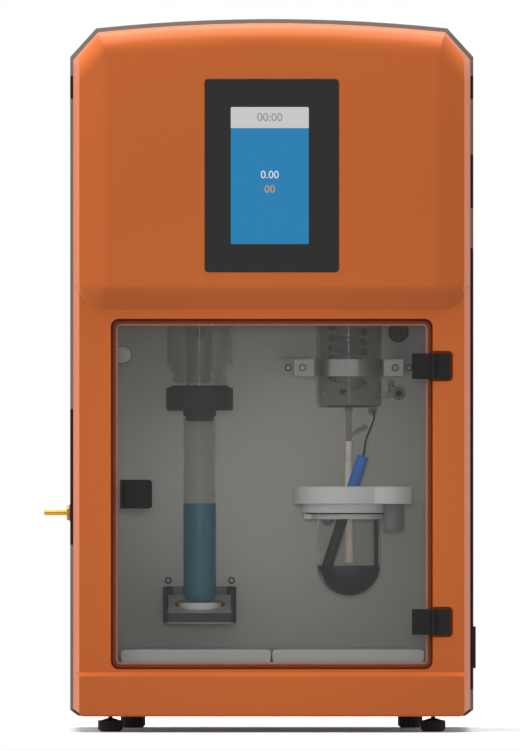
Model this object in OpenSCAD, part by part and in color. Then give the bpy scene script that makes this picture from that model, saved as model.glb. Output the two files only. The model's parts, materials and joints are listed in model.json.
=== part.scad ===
// Bench distillation unit: a tall cabinet with a moulded front, a glazed door and glassware behind it.
// Millimetres. +Z up, the front faces -Y, the origin lies on the bench under the middle of the cabinet.

/* [Cabinet] */
// Width of the cabinet shell
body_w = 450; // [436:1:480]
// Depth from the hood's face to the rear panel's face
body_d = 430; // [420:1:470]
// Height above the bench
body_h = 795.6; // [785:0.1:830]
// Gap between the bench and the base pan
foot_gap = 17.8; // [16:0.1:22]
// Width of the cut at each top corner
top_cut_w = 29; // [24:1:34]
// Height of the cut at each top corner
top_cut_h = 32; // [26:1:38]
// Rise of the top between its two cuts
crown = 10.4; // [7:0.1:14]
// Width of the cut at each bottom corner
base_cut_w = 9; // [7:0.5:11]
// Height of the cut at each bottom corner
base_cut_h = 6.9; // [5:0.1:8]
// Thickness of the cabinet sheet
shell_t = 1.5; // [1:0.1:2]
// Width of the shell's turned-in front flange
flange_w = 14; // [12:1:18]
// Thickness of the base pan
pan_t = 2; // [1.5:0.1:3]
// Thickness of the rear panel
rear_t = 2; // [1.5:0.1:3]

/* [Fascia] */
// Border of the shell that shows beside the fascia
fascia_inset = 3.7; // [3.2:0.1:4.5]
// Border of the shell that shows above the fascia
top_inset = 5.2; // [4:0.1:6]
// Depth of the moulding
fascia_depth = 60; // [52:1:70]
// Wall of the moulding
fascia_t = 3; // [2.5:0.1:3.5]
// Width of the hood's side facets
facet_w = 28.8; // [26:0.1:34]
// Fall of the hood's side facets
hood_fall = 7; // [4:0.5:9]
// Width of the steep strip along the moulding's sides
strip_w = 7; // [6:0.1:8]
// Depth of the steep strip
strip_d = 18; // [14:1:20]
// Radius of the roll along the hood's top
roll_r = 26; // [20:1:28]
// Lower end of the hood
hood_low = 471; // [468:1:476]
// Height of the slope under the hood
hood_slope = 28; // [27:1:32]
// Radius of the hood's lower corners
hood_corner = 24; // [18:1:25]
// Set-back of the door frame from the hood's face
frame_set = 12; // [11:0.5:14]
// Set-back of the plinth from the hood's face
plinth_set = 3; // [2:0.5:5]
// Height of the plinth's upper edge
plinth_top = 67.2; // [64:0.1:68]

/* [Door] */
// Width of the clear opening
opening_w = 343; // [330:1:346]
// Height of the clear opening
opening_h = 375; // [365:1:380]
// Height of the opening's sill
opening_z = 78.1; // [77:0.1:82]
// Ledge that the door shuts on
ledge_w = 7.8; // [7:0.1:8.4]
// Depth from the frame's face to the ledge
recess_d = 6.5; // [6.2:0.1:8]
// Thickness of the smoked sheet
door_t = 5; // [4:0.1:5.5]
// Gap around the sheet
door_gap = 2.6; // [1.5:0.1:3.2]
// Height of a hinge
hinge_h = 28.6; // [24:0.2:34]
// Distance from the opening's ends to the hinges' middles
hinge_inset = 45; // [35:1:70]
// Radius of a hinge knuckle
knuckle_r = 3; // [2.6:0.1:3.2]
// Radius of a hinge pin
hinge_pin_r = 1.4; // [1:0.1:1.6]
// Width of the door pull
pull_w = 35.6; // [28:0.2:44]
// Height of the door pull
pull_h = 32.2; // [26:0.2:40]
// Reach of the pull's lip
pull_lip = 11; // [7:0.5:12]

/* [Display] */
// Width of the black bezel
bezel_w = 149.3; // [140:0.1:170]
// Height of the black bezel
bezel_h = 214.9; // [205:0.1:225]
// Distance from the cabinet's top down to the display's middle
display_drop = 175.2; // [166:0.1:184]
// Width of the screen
screen_w = 86.9; // [80:0.1:100]
// Height of the screen
screen_h = 152.5; // [140:0.1:165]

/* [Chamber] */
// Thickness of the liner's sheet
liner_t = 2; // [1.5:0.1:3]
// Height of the liner's floor
floor_z = 70; // [68.5:0.1:72]
// Height of the liner's upper edge
liner_top = 700; // [690:1:720]
// Distance from the liner's back wall to the glassware's axes
glass_reach = 75; // [72:1:80]
// Height of a drip tray
tray_h = 22; // [18:0.5:26]
// Wall of a drip tray
tray_t = 2; // [1.5:0.1:3]

/* [Splash head] */
// Place of the sample side's axis
sample_x = -80.6; // [-84:0.1:-78]
// Diameter of the glass head
head_d = 74; // [68:0.5:76]
// Diameter of the head's neck
neck_d = 61; // [56:0.5:64]
// Underside of the black collar
collar_z = 358.6; // [354:0.1:362]
// Diameter of the black collar
collar_d = 75; // [70:0.5:80]
// Height of the black collar
collar_h = 28; // [24:0.5:30]
// Wall of the head
head_t = 2.5; // [2:0.1:3]

/* [Sample tube] */
// Outer diameter of the tube
tube_d = 36.8; // [35:0.1:40]
// Wall of the tube
tube_t = 1.8; // [1.4:0.1:2.2]
// Underside of the tube
tube_z = 137.5; // [136:0.1:139]
// Height of the sample's surface
sample_z = 254.6; // [200:0.1:290]
// Diameter of the white cup
cup_d = 48; // [46:0.5:52]
// Slope of the rest's plate in degrees
rest_tilt = 13; // [11:0.5:14]
// Length of the rest's plate
rest_len = 88; // [84:0.5:92]
// Width between the rest's cheeks
rest_w = 74; // [71:0.5:78]
// Thickness of the rest's cheeks
cheek_t = 3.9; // [3:0.1:4.5]
// How far the rest goes down
rest_travel = 8; // [6:0.5:8]

/* [Condenser] */
// Place of the receiving side's axis
cond_x = 86.3; // [84:0.1:88]
// Diameter of the jacket
jacket_d = 73.4; // [70:0.2:76]
// Wall of the jacket
jacket_t = 2.2; // [1.8:0.1:2.8]
// Underside of the jacket
jacket_z = 361.9; // [360:0.1:366]
// Height of the jacket
jacket_h = 278; // [275:1:285]
// Outer diameter of the coil
coil_d = 46; // [40:0.5:50]
// Diameter of the coil's tube
coil_tube = 7; // [6:0.1:8]
// Loops of the coil
coil_loops = 20; // [16:1:21]
// Pitch of the coil
coil_pitch = 11.4; // [10:0.1:11.8]
// Width of the steel strap
strap_w = 19; // [16:0.5:22]
// Height of the strap's middle
strap_z = 406.4; // [404:0.1:412]
// Thickness of the strap
strap_t = 2; // [1.5:0.1:2.5]

/* [Titration vessel] */
// Top of the white lid
lid_z = 273.6; // [271:0.1:276]
// Thickness of the white lid
lid_t = 19.4; // [17:0.1:20]
// Radius of the lid's disc
lid_r = 62.4; // [58:0.2:64]
// Radius of the lid's lobe
lobe_r = 22.8; // [20:0.2:24]
// Distance to the right from the vessel's axis to the lobe
lobe_off = 48; // [46:0.5:50]
// Distance to the front from the vessel's axis to the lobe
lobe_front = 43; // [41:0.5:44]
// Radius of the seat ring
seat_r = 53; // [50:0.5:55]
// Height of the seat ring
seat_h = 10; // [8:0.5:11]
// Thickness of the gasket
gasket_t = 1.5; // [1:0.1:2]
// Diameter of the vessel
vessel_d = 72; // [70:0.2:74]
// Wall of the vessel
vessel_t = 2; // [1.6:0.1:2.4]
// Underside of the vessel
vessel_z = 151.1; // [148:0.1:155]
// Height of the receiver liquid's surface
liquid_z = 185; // [183:0.1:190]
// Slope of the electrode in degrees
probe_tilt = 18; // [16:0.5:19]
// Diameter of the electrode's shaft
probe_d = 12; // [10:0.1:12.4]
// Diameter of the electrode's cap
probe_cap_d = 13; // [12.6:0.1:14]

/* [Side fittings] */
// Height of a grip insert
grip_h = 25; // [23:0.5:30]
// Distance from the top of the sides down to the grips' middles
grip_drop = 34; // [28:0.5:50]
// Depth of a grip's pocket
grip_pocket = 24; // [18:1:28]
// Height of the water inlet
inlet_z = 244.3; // [235:0.1:330]
// Diameter of the water inlet's pipe
inlet_d = 5.5; // [4:0.1:8]
// Length of the water inlet's pipe
inlet_len = 25; // [18:0.5:30]
// Height of the power inlet's flange
power_h = 46.7; // [46:0.1:50]
// Width of the power inlet's flange
power_w = 30; // [29:0.5:36]

/* [Feet] */
// Diameter of a foot's fluted rim
foot_d = 28; // [26:0.2:34]
// Diameter of a foot's stud
stud_d = 4.8; // [4:0.1:6]
// Half spacing of the front feet
front_foot_x = 180.2; // [176:0.2:186]
// Half spacing of the rear feet
rear_foot_x = 156.5; // [120:0.5:180]
// Flutes on a foot's rim
flutes = 18; // [12:1:24]

/* [Hidden] */
// Clearances shared by all fits
run_gap = 0.05;
fit_gap = 0.2;
seat_gap = 0.3;
$fn = 64;

// Cabinet planes
half_w = body_w / 2;
front_y = -body_d / 2;
rear_y = body_d / 2;
shell_y0 = front_y + fascia_depth;
shell_y1 = rear_y - rear_t;
base_z = foot_gap;
pan_z = base_z + pan_t;
toe = base_z + base_cut_h;
shoulder = body_h - crown - top_cut_h;
top_half = half_w - top_cut_w;
crown_r = (top_half * top_half + crown * crown) / (2 * crown);
cut_len = norm([top_cut_w, top_cut_h]);
base_cut_len = norm([base_cut_w, base_cut_h]);
cut_angle = atan2(top_cut_w, top_cut_h);
cut_reach = half_w * cos(cut_angle) + shoulder * sin(cut_angle);

// Fascia and door planes
fascia_half = half_w - fascia_inset;
strip_x = fascia_half - strip_w;
hood_flat = strip_x - facet_w;
strip_len = norm([strip_w, strip_d]);
slope_z = hood_low + hood_slope;
hood_t = fascia_t + 0.6;
frame_y = front_y + frame_set;
plinth_y = front_y + plinth_set;
ledge_y = frame_y + recess_d;
frame_back = ledge_y + fascia_t;
opening_half = opening_w / 2;
opening_top = opening_z + opening_h;
recess_half = opening_half + ledge_w;
recess_z0 = opening_z - ledge_w;
recess_z1 = opening_top + ledge_w;
recess_corner = 9;
opening_corner = 3;
door_y0 = ledge_y - 0.5 - door_t;
leaf_t = 2;
hinge_x = recess_half + 0.8;
hinge_y = door_y0 - knuckle_r - 0.5;
hinge_zs = [opening_z + hinge_inset, opening_top - hinge_inset];
knuckles = 5;
knuckle_h = hinge_h / knuckles;
leaf_reach = 19;
door_leaf_reach = 23.8;
pocket_x1 = hinge_x + leaf_reach + 2.8;
pocket_y = door_y0 + 0.2;
pull_x0 = -opening_half + 2.5;
pull_z = opening_z + opening_h / 2;

// Steps of the crown, and of the hood's face, lower corners and rolled edge
crown_steps = 12;
face_steps = 4;
corner_steps = 5;
roll_steps = 7;

// Roll of the hood: its width across the cut corners makes both rolls meet the facet's upper end
crown_z = body_h - crown_r;
face_r = crown_r - top_inset - roll_r;
cut_out = cut_reach - top_inset;
face_corner_z = crown_z + sqrt(face_r * face_r - hood_flat * hood_flat);
cut_roll = cut_out - hood_flat * cos(cut_angle) - face_corner_z * sin(cut_angle);

// Display planes
display_z = body_h - display_drop;
bezel_t = 2.4;
bezel_proud = 0.6;
bezel_y0 = front_y - bezel_proud;
screen_x = -2.2;
window_lip = 14;
board_margin = 8;

// Chamber planes
wall_y = 0;
glass_y = wall_y - glass_reach;
liner_half = opening_half + 3.5;
tray_gap = 1.2;
tray_y0 = frame_back + 3;
tray_y1 = wall_y - 3;

// Splash head levels
stopper_r = tube_d / 2;
stopper_h = 6;
stopper_z = collar_z - stopper_h;
plug_len = 6;
neck_z = collar_z + collar_h;
neck_len = 15.4;
head_step = 7.1;
head_top = 560;
head_mouth_r = 8;
bridge_top = jacket_z + jacket_h + 34;
bridge_bend = 25;

// Tube rest levels
tube_r = tube_d / 2;
tube_top = stopper_z - 2;
plate_t = 2;
hole_r = cup_d / 2 + 4.5;
bracket_z0 = 121.5;
bracket_h = 39.5;
slot_x = rest_w / 2;
guide_pin_r = 1.9;
guide_y = glass_y - 18;
guide_z = bracket_z0 + 12.5;
rest_spread = rest_w - 3.8;
ball_z = tube_z + tube_r;
plate_z = tube_z + 4.6;
cup_top = plate_z + 1.2;
cup_round = 8;
bridge_z = plate_z - 12;
bridge_w = 16;

// Condenser levels
jacket_r = jacket_d / 2;
jacket_top = jacket_z + jacket_h;
jacket_corner = 5.5;
coil_r = coil_d / 2 - coil_tube / 2;
coil_run = 16;
coil_sides = 6;
coil_rings = 24;
ear_in = jacket_r + 6;
ear_out = jacket_r + 24.4;
block_out = ear_out + 18.5;
screw_head_r = 3.9;
screw_r = 1.5;
outlet_r = 3.3;
outlet_z0 = 324.2;
hose_r = 4.45;
hose_top_r = 3.5;

// Vessel levels
lid_z0 = lid_z - lid_t;
seat_z0 = lid_z0 - seat_h;
gasket_z0 = seat_z0 - gasket_t;
vessel_r = vessel_d / 2;
vessel_in = vessel_r - vessel_t;
rim_r = vessel_r + 3;
rim_t = 2.5;
ring_r = rim_r + 3;
ring_z0 = gasket_z0 - 5.7;
bowl_z = vessel_z + vessel_r;
probe_y = glass_y - 8;
hose_y = glass_y + 7;
probe_top = [102.1, probe_y, 307.5];
probe_end_z = 180.5;
drain_x = cond_x + vessel_in - 3.2;
drain_r = 2.3;
drain_z = bowl_z - 3;
post_r = 11.1;
post_len = 30;

// Electrode lead: hand-chosen points from the cap to its wall bushing
lead_d = 2;
lead_route = [
    [102.1, probe_y, 307.5], [103.4, probe_y, 311.5], [104, -82, 316], [104.5, -80, 322],
    [106, -76, 328], [108.4, -72, 334], [111, -66, 340], [113.4, -58, 346], [115, -48, 351],
    [115.2, -38, 355], [114.4, -28, 357.4], [113.6, -18, 358], [113.3, -9, 358], [113.3, 0, 358]
];

// Cooling water elbow: hand-chosen points from the jacket's side to the back wall
elbow_d = 7.8;
elbow_x = 134;
elbow_route = [
    [cond_x + jacket_r - 1, -62, 375.3], [126, -62, 375.3], [130, -62, 376.2], [133, -61.5, 378.6],
    [elbow_x, -60, 382], [elbow_x, -56.5, 385.5], [elbow_x, -52, 388], [elbow_x, -46, 389.3],
    [elbow_x, -38, 389.6], [elbow_x, -20, 389.6], [elbow_x, 0, 389.6]
];

// Side inserts
grip_z = shoulder - grip_drop;
insert_t = fascia_inset;
lip_w = 8;
grip_len = 150;
left_panel = [208.9, 360.3, 110];
right_panels = [[47.4, grip_z - 179.6, 240], [grip_z - 134.4, grip_z - 74.9, 240]];
power_z = 93.7;
power_y = shell_y0 + 62;
inlet_y = shell_y0 + 50;
rocker_w = 19;
rocker_h = 12.4;
rocker_tilt = 8;
rocker_r = 9;
rocker_z = power_z + 13.2;
rocker_x = half_w + 3.1 - 6;

// Feet
front_foot_y = shell_y0 + 26;
rear_foot_y = shell_y1 - 38;
boss_h = 14;
boss_r = stud_d / 2 + 4;

// Points along an arc, from angle a0 to angle a1
function arc(c, r, a0, a1, n = 8) =
    [for (i = [0:n]) c + r * [cos(a0 + (a1 - a0) * i / n), sin(a0 + (a1 - a0) * i / n)]];

// Rounded rectangle
function round_box(x0, x1, z0, z1, r, n = 6) = concat(
    arc([x1 - r, z1 - r], r, 0, 90, n),
    arc([x0 + r, z1 - r], r, 90, 180, n),
    arc([x0 + r, z0 + r], r, 180, 270, n),
    arc([x1 - r, z0 + r], r, 270, 360, n)
);

// A right-hand outline and its mirror image as one closed outline
function mirrored(right) =
    concat(right, [for (i = [len(right) - 1:-1:0]) [-right[i].x, right[i].y]]);

// Front outline (X, Z), plan outline (X, Y) and side outline (Y, Z) made into slabs
module front_slab(y0, y1) {
    translate([0, y1, 0]) rotate([90, 0, 0]) linear_extrude(y1 - y0) children();
}

module plan_slab(z0, z1) {
    translate([0, 0, z0]) linear_extrude(z1 - z0) children();
}

module side_slab(x0, x1) {
    translate([x0, 0, 0]) rotate([90, 0, 90]) linear_extrude(x1 - x0) children();
}

module box(x0, x1, y0, y1, z0, z1) {
    translate([x0, y0, z0]) cube([x1 - x0, y1 - y0, z1 - z0]);
}

// A right-hand piece, or its mirror image on the left
module on_side(side) {
    if (side < 0) mirror([1, 0, 0]) children();
    else children();
}

// Rods along an axis, from their first end
module rod_x(x0, x1, y, z, r) {
    translate([x0, y, z]) rotate([0, 90, 0]) cylinder(h = x1 - x0, r = r);
}

module rod_y(x, y0, y1, z, r) {
    translate([x, y1, z]) rotate([90, 0, 0]) cylinder(h = y1 - y0, r = r);
}

module rod_z(x, y, z0, z1, r) {
    translate([x, y, z0]) cylinder(h = z1 - z0, r = r);
}

// Round tube swept along points, its rings carried without twist
function unit(v) = v / norm(v);
function tangents(p) =
    [for (i = [0:len(p) - 1]) unit(p[min(i + 1, len(p) - 1)] - p[max(i - 1, 0)])];
function square_to(v, t) = unit(v - (v * t) * t);
function normals(t) = [
    for (i = 0, n = square_to(abs(t[0].x) < 0.8 ? [1, 0, 0] : [0, 1, 0], t[0]); i < len(t);
        i = i + 1, n = i < len(t) ? square_to(n, t[i]) : n) n
];

module swept_tube(p, r, sides) {
    t = tangents(p);
    n = normals(t);
    points = [
        for (i = [0:len(p) - 1]) for (k = [0:sides - 1])
            p[i] + r * (cos(360 * k / sides) * n[i] + sin(360 * k / sides) * cross(t[i], n[i]))
    ];
    last = (len(p) - 1) * sides;
    side_faces = [
        for (i = [0:len(p) - 2]) for (k = [0:sides - 1])
            let (a = i * sides + k, b = i * sides + (k + 1) % sides)
                for (f = [[a, a + sides, b + sides], [a, b + sides, b]]) f
    ];
    start_cap = [for (k = [1:sides - 2]) [0, k, k + 1]];
    end_cap = [for (k = [1:sides - 2]) [last, last + k + 1, last + k]];
    polyhedron(points, concat(start_cap, side_faces, end_cap), convexity = 12);
}

// Front outline of the cabinet, moved in by d: straight sides, cut corners, crowned top
function side_top(d) = shoulder - d * (cut_len - top_cut_h) / top_cut_w;
function toe_z(d) = max(base_z + d + 0.5, toe + d * (base_cut_len - base_cut_h) / base_cut_w);
function toe_x(d) =
    min(half_w - d - 0.5, half_w - base_cut_w - d * (base_cut_len - base_cut_w) / base_cut_h);

function crown_angle(d) =
    cut_angle + acos((cut_reach - d - (body_h - crown_r) * sin(cut_angle)) / (crown_r - d));

module cabinet_outline(d) {
    a0 = crown_angle(d);
    top = [for (i = [0:crown_steps]) let (a = a0 + (90 - a0) * i / (crown_steps + 0.5))
        [0, body_h - crown_r] + (crown_r - d) * [cos(a), sin(a)]];
    polygon(mirrored(concat(
        [[toe_x(d), base_z + d], [half_w - d, toe_z(d)], [half_w - d, side_top(d)]], top)));
}

// Front outline of the moulding, moved in by d: like the cabinet's, but level with it at the bottom
module fascia_outline(d) {
    e = fascia_inset + d;
    polygon(mirrored([
        [toe_x(e) - fascia_inset * base_cut_w / base_cut_h, base_z + d], [fascia_half - d, toe_z(e)],
        [fascia_half - d, slope_z + fascia_depth]
    ]));
}

// Plan outline of the moulding with its face at y, moved in by d: the steep strips end at its sides
module fascia_plan(d, y, back) {
    polygon(mirrored([
        [fascia_half - d, back], [fascia_half - d, y + strip_d + d * (strip_len - strip_d) / strip_w],
        [strip_x - d * (strip_len - strip_w) / strip_d, y + d]
    ]));
}

// Set-back of the hood's skin at distance x from the middle: facet, then strip
function facet_fall(x) = hood_fall * max(0, min(1, (x - hood_flat) / facet_w));
function strip_fall(x) = strip_d * max(0, x - strip_x) / strip_w;

// Lower boundary of the hood, with round corners
function low_z(x) = x <= strip_x - hood_corner ? hood_low
    : hood_low + hood_corner - sqrt(max(0, pow(hood_corner, 2) - pow(x - strip_x + hood_corner, 2)));

// Share of the slope's fall at share p of its height: a soft start, then straight
function slope_share(p) = p < 0.4 ? p * p / 0.64 : 1.25 * (p - 0.2);

// Points of the roll at share q of its width, 1 at the face: at share k of the crown, and on a cut corner
function crown_point(q, k) = let (
    r = crown_r - top_inset - roll_r * q,
    a0 = cut_angle + acos((cut_out - cut_roll * q - crown_z * sin(cut_angle)) / r),
    a = a0 + (90 - a0) * k
) [r * cos(a), crown_z + r * sin(a)];
function cut_point(q, x) = [x, (cut_out - cut_roll * q - x * cos(cut_angle)) / sin(cut_angle)];

// Rows of the hood's skin as points (X, set-back, Z), over facet columns xs and n columns of the face:
// on the slope at share p of its height, and on the roll at angle a
function slope_row(p, xs, n) = [
    for (x = concat([fascia_half], xs, [for (i = [1:n]) crown_point(1, i / (n + 0.5)).x])) let (
        s = slope_share(p),
        low = low_z(min(x, strip_x)))
            [x, facet_fall(x) * (1 - s) + frame_set * s + strip_fall(x), slope_z + (low - slope_z) * p]
];
function roll_row(a, xs, n) = let (
    q = 1 - sin(a),
    fall = roll_r * (1 - cos(a)),
    mitre = crown_point(q, 0).x,
    edge = cut_point(q, fascia_half)
) concat(
    [[edge.x, hood_fall + strip_d + fall, edge.y]],
    [for (x = xs) let (
        f = (strip_x - x) / facet_w,
        p = cut_point(q, strip_x - f * (strip_x - mitre)))
            [p.x, hood_fall * (1 - f) + fall, p.y]],
    [for (i = [1:n]) let (p = crown_point(q, i / (n + 0.5))) [p.x, fall, p.y]]
);
function whole_row(row) = [
    for (p = concat(row, [for (i = [len(row) - 1:-1:0]) [-row[i].x, row[i].y, row[i].z]]))
        [p.x, front_y + p.y, p.z]
];
function hood_grid(shares, steps, xs, n) = [
    for (row = concat([for (p = shares) slope_row(p, xs, n)],
        [for (i = [0:steps]) roll_row(90 * i / steps, xs, n)])) whole_row(row)
];
outer_xs = concat(
    [for (i = [0:corner_steps]) strip_x - hood_corner * (1 - cos(90 * i / corner_steps))], [hood_flat]);
outer_hood = hood_grid([1.04, 0.4, 0.3, 0.2, 0.1, 0], roll_steps, outer_xs, face_steps);
inner_hood = hood_grid([1.04, 0], 2, [strip_x, hood_flat], 1);

// Outward direction of the skin at row r and column c; its borders turn straight back
function lean(grid, r, c) = let (
    here = grid[r][c],
    up = (r < len(grid) - 1 ? unit(grid[r + 1][c] - here) : [0, 1, 0])
        + (r > 0 ? unit(here - grid[r - 1][c]) : [0, -1, 0]),
    side = (c < len(grid[0]) - 1 ? unit(grid[r][c + 1] - here) : [0, 1, 0])
        + (c > 0 ? unit(here - grid[r][c - 1]) : [0, -1, 0])
) unit(cross(up, side));

// Hood as a solid from its skin, moved in by d, back to a flat rear end
module hood_form(grid, d, back) {
    rows = len(grid);
    n = len(grid[0]);
    skin = [for (r = [0:rows - 1]) for (c = [0:n - 1]) grid[r][c] - d * lean(grid, r, c)];
    rim = concat(
        [for (c = [0:n - 1]) c], [for (r = [1:rows - 1]) r * n + n - 1],
        [for (c = [n - 2:-1:0]) (rows - 1) * n + c], [for (r = [rows - 2:-1:1]) r * n]);
    m = len(rim);
    rear = rows * n;
    front_faces = [
        for (r = [0:rows - 2]) for (c = [0:n - 2]) let (k = r * n + c)
            for (f = [[k, k + 1, k + n + 1], [k, k + n + 1, k + n]]) f
    ];
    walls = [
        for (k = [0:m - 1]) let (j = (k + 1) % m)
            for (f = [[rim[j], rim[k], rear + k], [rim[j], rear + k, rear + j],
                [rear + j, rear + k, rear + m]]) f
    ];
    rear_middle = [0, back, shoulder - strip_x / 2];
    polyhedron(concat(skin, [for (k = rim) [skin[k].x, back, skin[k].z]], [rear_middle]),
        concat(front_faces, walls), convexity = 6);
}

module frame_form(d, back) {
    intersection() {
        front_slab(frame_y + d, back) fascia_outline(d);
        plan_slab(base_z, d > 0 ? slope_z + d : hood_low + hood_corner + 1) fascia_plan(d, frame_y, back);
    }
}

module plinth_form(d, back) {
    bevel = 2;
    step = 4.5;
    intersection() {
        front_slab(plinth_y + d, back) fascia_outline(d);
        plan_slab(base_z, plinth_top) fascia_plan(d, plinth_y, back);
        side_slab(-half_w, half_w) polygon([
            [back, base_z], [plinth_y + bevel + d, base_z], [plinth_y + d, base_z + bevel],
            [plinth_y + d, plinth_top - step - d], [frame_y + d, plinth_top - d], [back, plinth_top - d]
        ]);
    }
}

module fascia_form(d, back) {
    if (d > 0) hood_form(inner_hood, hood_t, back);
    else hood_form(outer_hood, 0, back);
    frame_form(d, back);
    plinth_form(d, back);
}

module front_fascia() {
    color("#bc602d") difference() {
        union() {
            difference() {
                fascia_form(0, shell_y0);
                fascia_form(fascia_t, shell_y0 + 1);
            }
            front_slab(frame_y + fascia_t / 2, frame_back) polygon(round_box(
                -recess_half - fascia_t, recess_half + fascia_t,
                recess_z0 - fascia_t, recess_z1 + fascia_t, recess_corner + fascia_t));
        }
        front_slab(front_y - 1, ledge_y)
            polygon(round_box(-recess_half, recess_half, recess_z0, recess_z1, recess_corner));
        front_slab(front_y - 1, frame_back + 1)
            polygon(round_box(-opening_half, opening_half, opening_z, opening_top, opening_corner));
        for (z = hinge_zs)
            front_slab(front_y - 1, pocket_y) polygon(round_box(
                recess_half - 6, pocket_x1, z - hinge_h / 2 - 2.6, z + hinge_h / 2 + 2.6, 5));
        front_slab(front_y - 1, bezel_y0 + bezel_t) bezel_outline(fit_gap);
        front_slab(front_y - 1, front_y + fascia_t + 1) polygon(round_box(
            -bezel_w / 2 + window_lip, bezel_w / 2 - window_lip,
            display_z - bezel_h / 2 + window_lip, display_z + bezel_h / 2 - window_lip, 3));
    }
}

module cabinet_shell() {
    color("#727272") difference() {
        front_slab(shell_y0, shell_y1) cabinet_outline(0);
        front_slab(shell_y0 + shell_t, shell_y1 + 1) cabinet_outline(shell_t);
        front_slab(shell_y0 - 1, shell_y0 + shell_t + 1) cabinet_outline(flange_w);
        box(-half_w - 1, half_w + 1, shell_y0 - 1, shell_y1 + 1, base_z - 1, toe);
        for (p = right_panels) insert_notch(1, p[2], p[0], p[1]);
        insert_notch(-1, left_panel[2], left_panel[0], left_panel[1]);
        for (s = [-1, 1]) insert_notch(s, grip_len, grip_z - grip_h / 2, grip_z + grip_h / 2);
    }
}

module base_pan() {
    color("#5c5c5c") {
        difference() {
            union() {
                difference() {
                    front_slab(shell_y0, shell_y1) cabinet_outline(0);
                    front_slab(shell_y0 - 1, shell_y1 + 1) cabinet_outline(pan_t);
                    box(-half_w - 1, half_w + 1, shell_y0 - 1, shell_y1 + 1, toe, body_h + 1);
                }
                for (f = [[front_foot_x, front_foot_y], [rear_foot_x, rear_foot_y]]) for (s = [-1, 1])
                    rod_z(s * f.x, f.y, base_z + pan_t / 2, base_z + boss_h, boss_r);
            }
            for (f = [[front_foot_x, front_foot_y], [rear_foot_x, rear_foot_y]]) for (s = [-1, 1])
                rod_z(s * f.x, f.y, base_z - 1, base_z + boss_h + 1, stud_d / 2 + run_gap);
        }
    }
}

module rear_panel() {
    vent_pitch = 12;
    vent_rows = 14;
    vent_w = 150;
    vent_h = 4;
    vent_z = 420;
    color("#6a6a6a") difference() {
        front_slab(shell_y1, rear_y) cabinet_outline(0);
        for (s = [-1, 1]) for (i = [0:vent_rows - 1])
            front_slab(shell_y1 - 1, rear_y + 1) polygon(round_box(
                s * vent_w / 2 * 1.15 - vent_w / 2, s * vent_w / 2 * 1.15 + vent_w / 2,
                vent_z + i * vent_pitch, vent_z + i * vent_pitch + vent_h, vent_h / 2 - 0.01, 2));
    }
}

// Liner of the glassware chamber: floor, two sides notched around the feet's bosses, and a back wall
module chamber_liner() {
    outer = liner_half + liner_t;
    notch = boss_r + 1;
    color("#8c8c88") difference() {
        union() {
            box(-outer, -liner_half, frame_back, wall_y + liner_t, pan_z, liner_top);
            box(liner_half, outer, frame_back, wall_y + liner_t, pan_z, liner_top);
            box(-outer, outer, wall_y, wall_y + liner_t, pan_z, liner_top);
            box(-outer, outer, frame_back, wall_y + liner_t, floor_z - liner_t, floor_z);
        }
        box(-outer - 1, outer + 1, frame_back - 1, shell_y0 + shell_t + 1, pan_z - 1, floor_z - liner_t);
        for (s = [-1, 1])
            box(s * front_foot_x - notch, s * front_foot_x + notch, front_foot_y - notch, front_foot_y + notch,
                pan_z - 1, base_z + boss_h + 1);
    }
}

module bezel_outline(gap) {
    polygon(round_box(-bezel_w / 2 - gap, bezel_w / 2 + gap,
        display_z - bezel_h / 2 - gap, display_z + bezel_h / 2 + gap, 4));
}

module display_bezel() {
    color("#303030") difference() {
        front_slab(bezel_y0, bezel_y0 + bezel_t) bezel_outline(0);
        front_slab(bezel_y0 - 1, bezel_y0 + bezel_t + 1) screen_outline(fit_gap);
    }
}

module screen_outline(gap) {
    polygon(round_box(screen_x - screen_w / 2 - gap, screen_x + screen_w / 2 + gap,
        display_z - screen_h / 2 - gap, display_z + screen_h / 2 + gap, 1.5));
}

module display_panel() {
    color("#2680b4") front_slab(bezel_y0 + 0.3, front_y + hood_t) screen_outline(0);
}

// Display board behind the fascia wall: circuit board with a shield can and a connector
module display_board() {
    board_x = bezel_w / 2 - window_lip + board_margin;
    board_z = bezel_h / 2 - window_lip + board_margin;
    y = front_y + hood_t;
    color("#1d5a3a") {
        box(-board_x, board_x, y, y + 2, display_z - board_z, display_z + board_z);
        box(-board_x / 2, board_x / 2, y + 1, y + 9, display_z - board_z / 2, display_z + board_z / 3);
        box(-board_x / 3, board_x / 3, y + 1, y + 8, display_z + board_z / 2, display_z + board_z / 1.6);
    }
}

// One hinge leaf: a plate and every second knuckle of the barrel, from knuckle "first"
module hinge_leaf(side, first, y0, z) {
    x1 = hinge_x + side * (side < 0 ? door_leaf_reach : leaf_reach);
    clear = knuckle_r + fit_gap;
    z0 = z - hinge_h / 2;
    difference() {
        union() {
            box(min(hinge_x + side * clear, x1), max(hinge_x + side * clear, x1),
                y0, y0 + leaf_t, z0, z0 + hinge_h);
            for (i = [first:2:knuckles - 1]) {
                low = z0 + i * knuckle_h + (i > 0 ? fit_gap : 0);
                high = z0 + (i + 1) * knuckle_h - (i < knuckles - 1 ? fit_gap : 0);
                rod_z(hinge_x, hinge_y, low, high, knuckle_r);
                box(min(hinge_x, hinge_x + side * (clear + 1)), max(hinge_x, hinge_x + side * (clear + 1)),
                    y0, y0 + leaf_t, low, high);
            }
        }
        rod_z(hinge_x, hinge_y, z0 - 1, z0 + hinge_h + 1, hinge_pin_r + run_gap);
    }
}

module hinge_cabinet_leaves() {
    color("#262626") for (z = hinge_zs) hinge_leaf(1, 0, pocket_y - leaf_t, z);
}

module hinge_pins() {
    color("#3a3a3a") for (z = hinge_zs)
        rod_z(hinge_x, hinge_y, z - hinge_h / 2, z + hinge_h / 2, hinge_pin_r);
}

module hinge_door_leaves() {
    color("#262626") for (z = hinge_zs) hinge_leaf(-1, 1, door_y0 - leaf_t, z);
}

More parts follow.
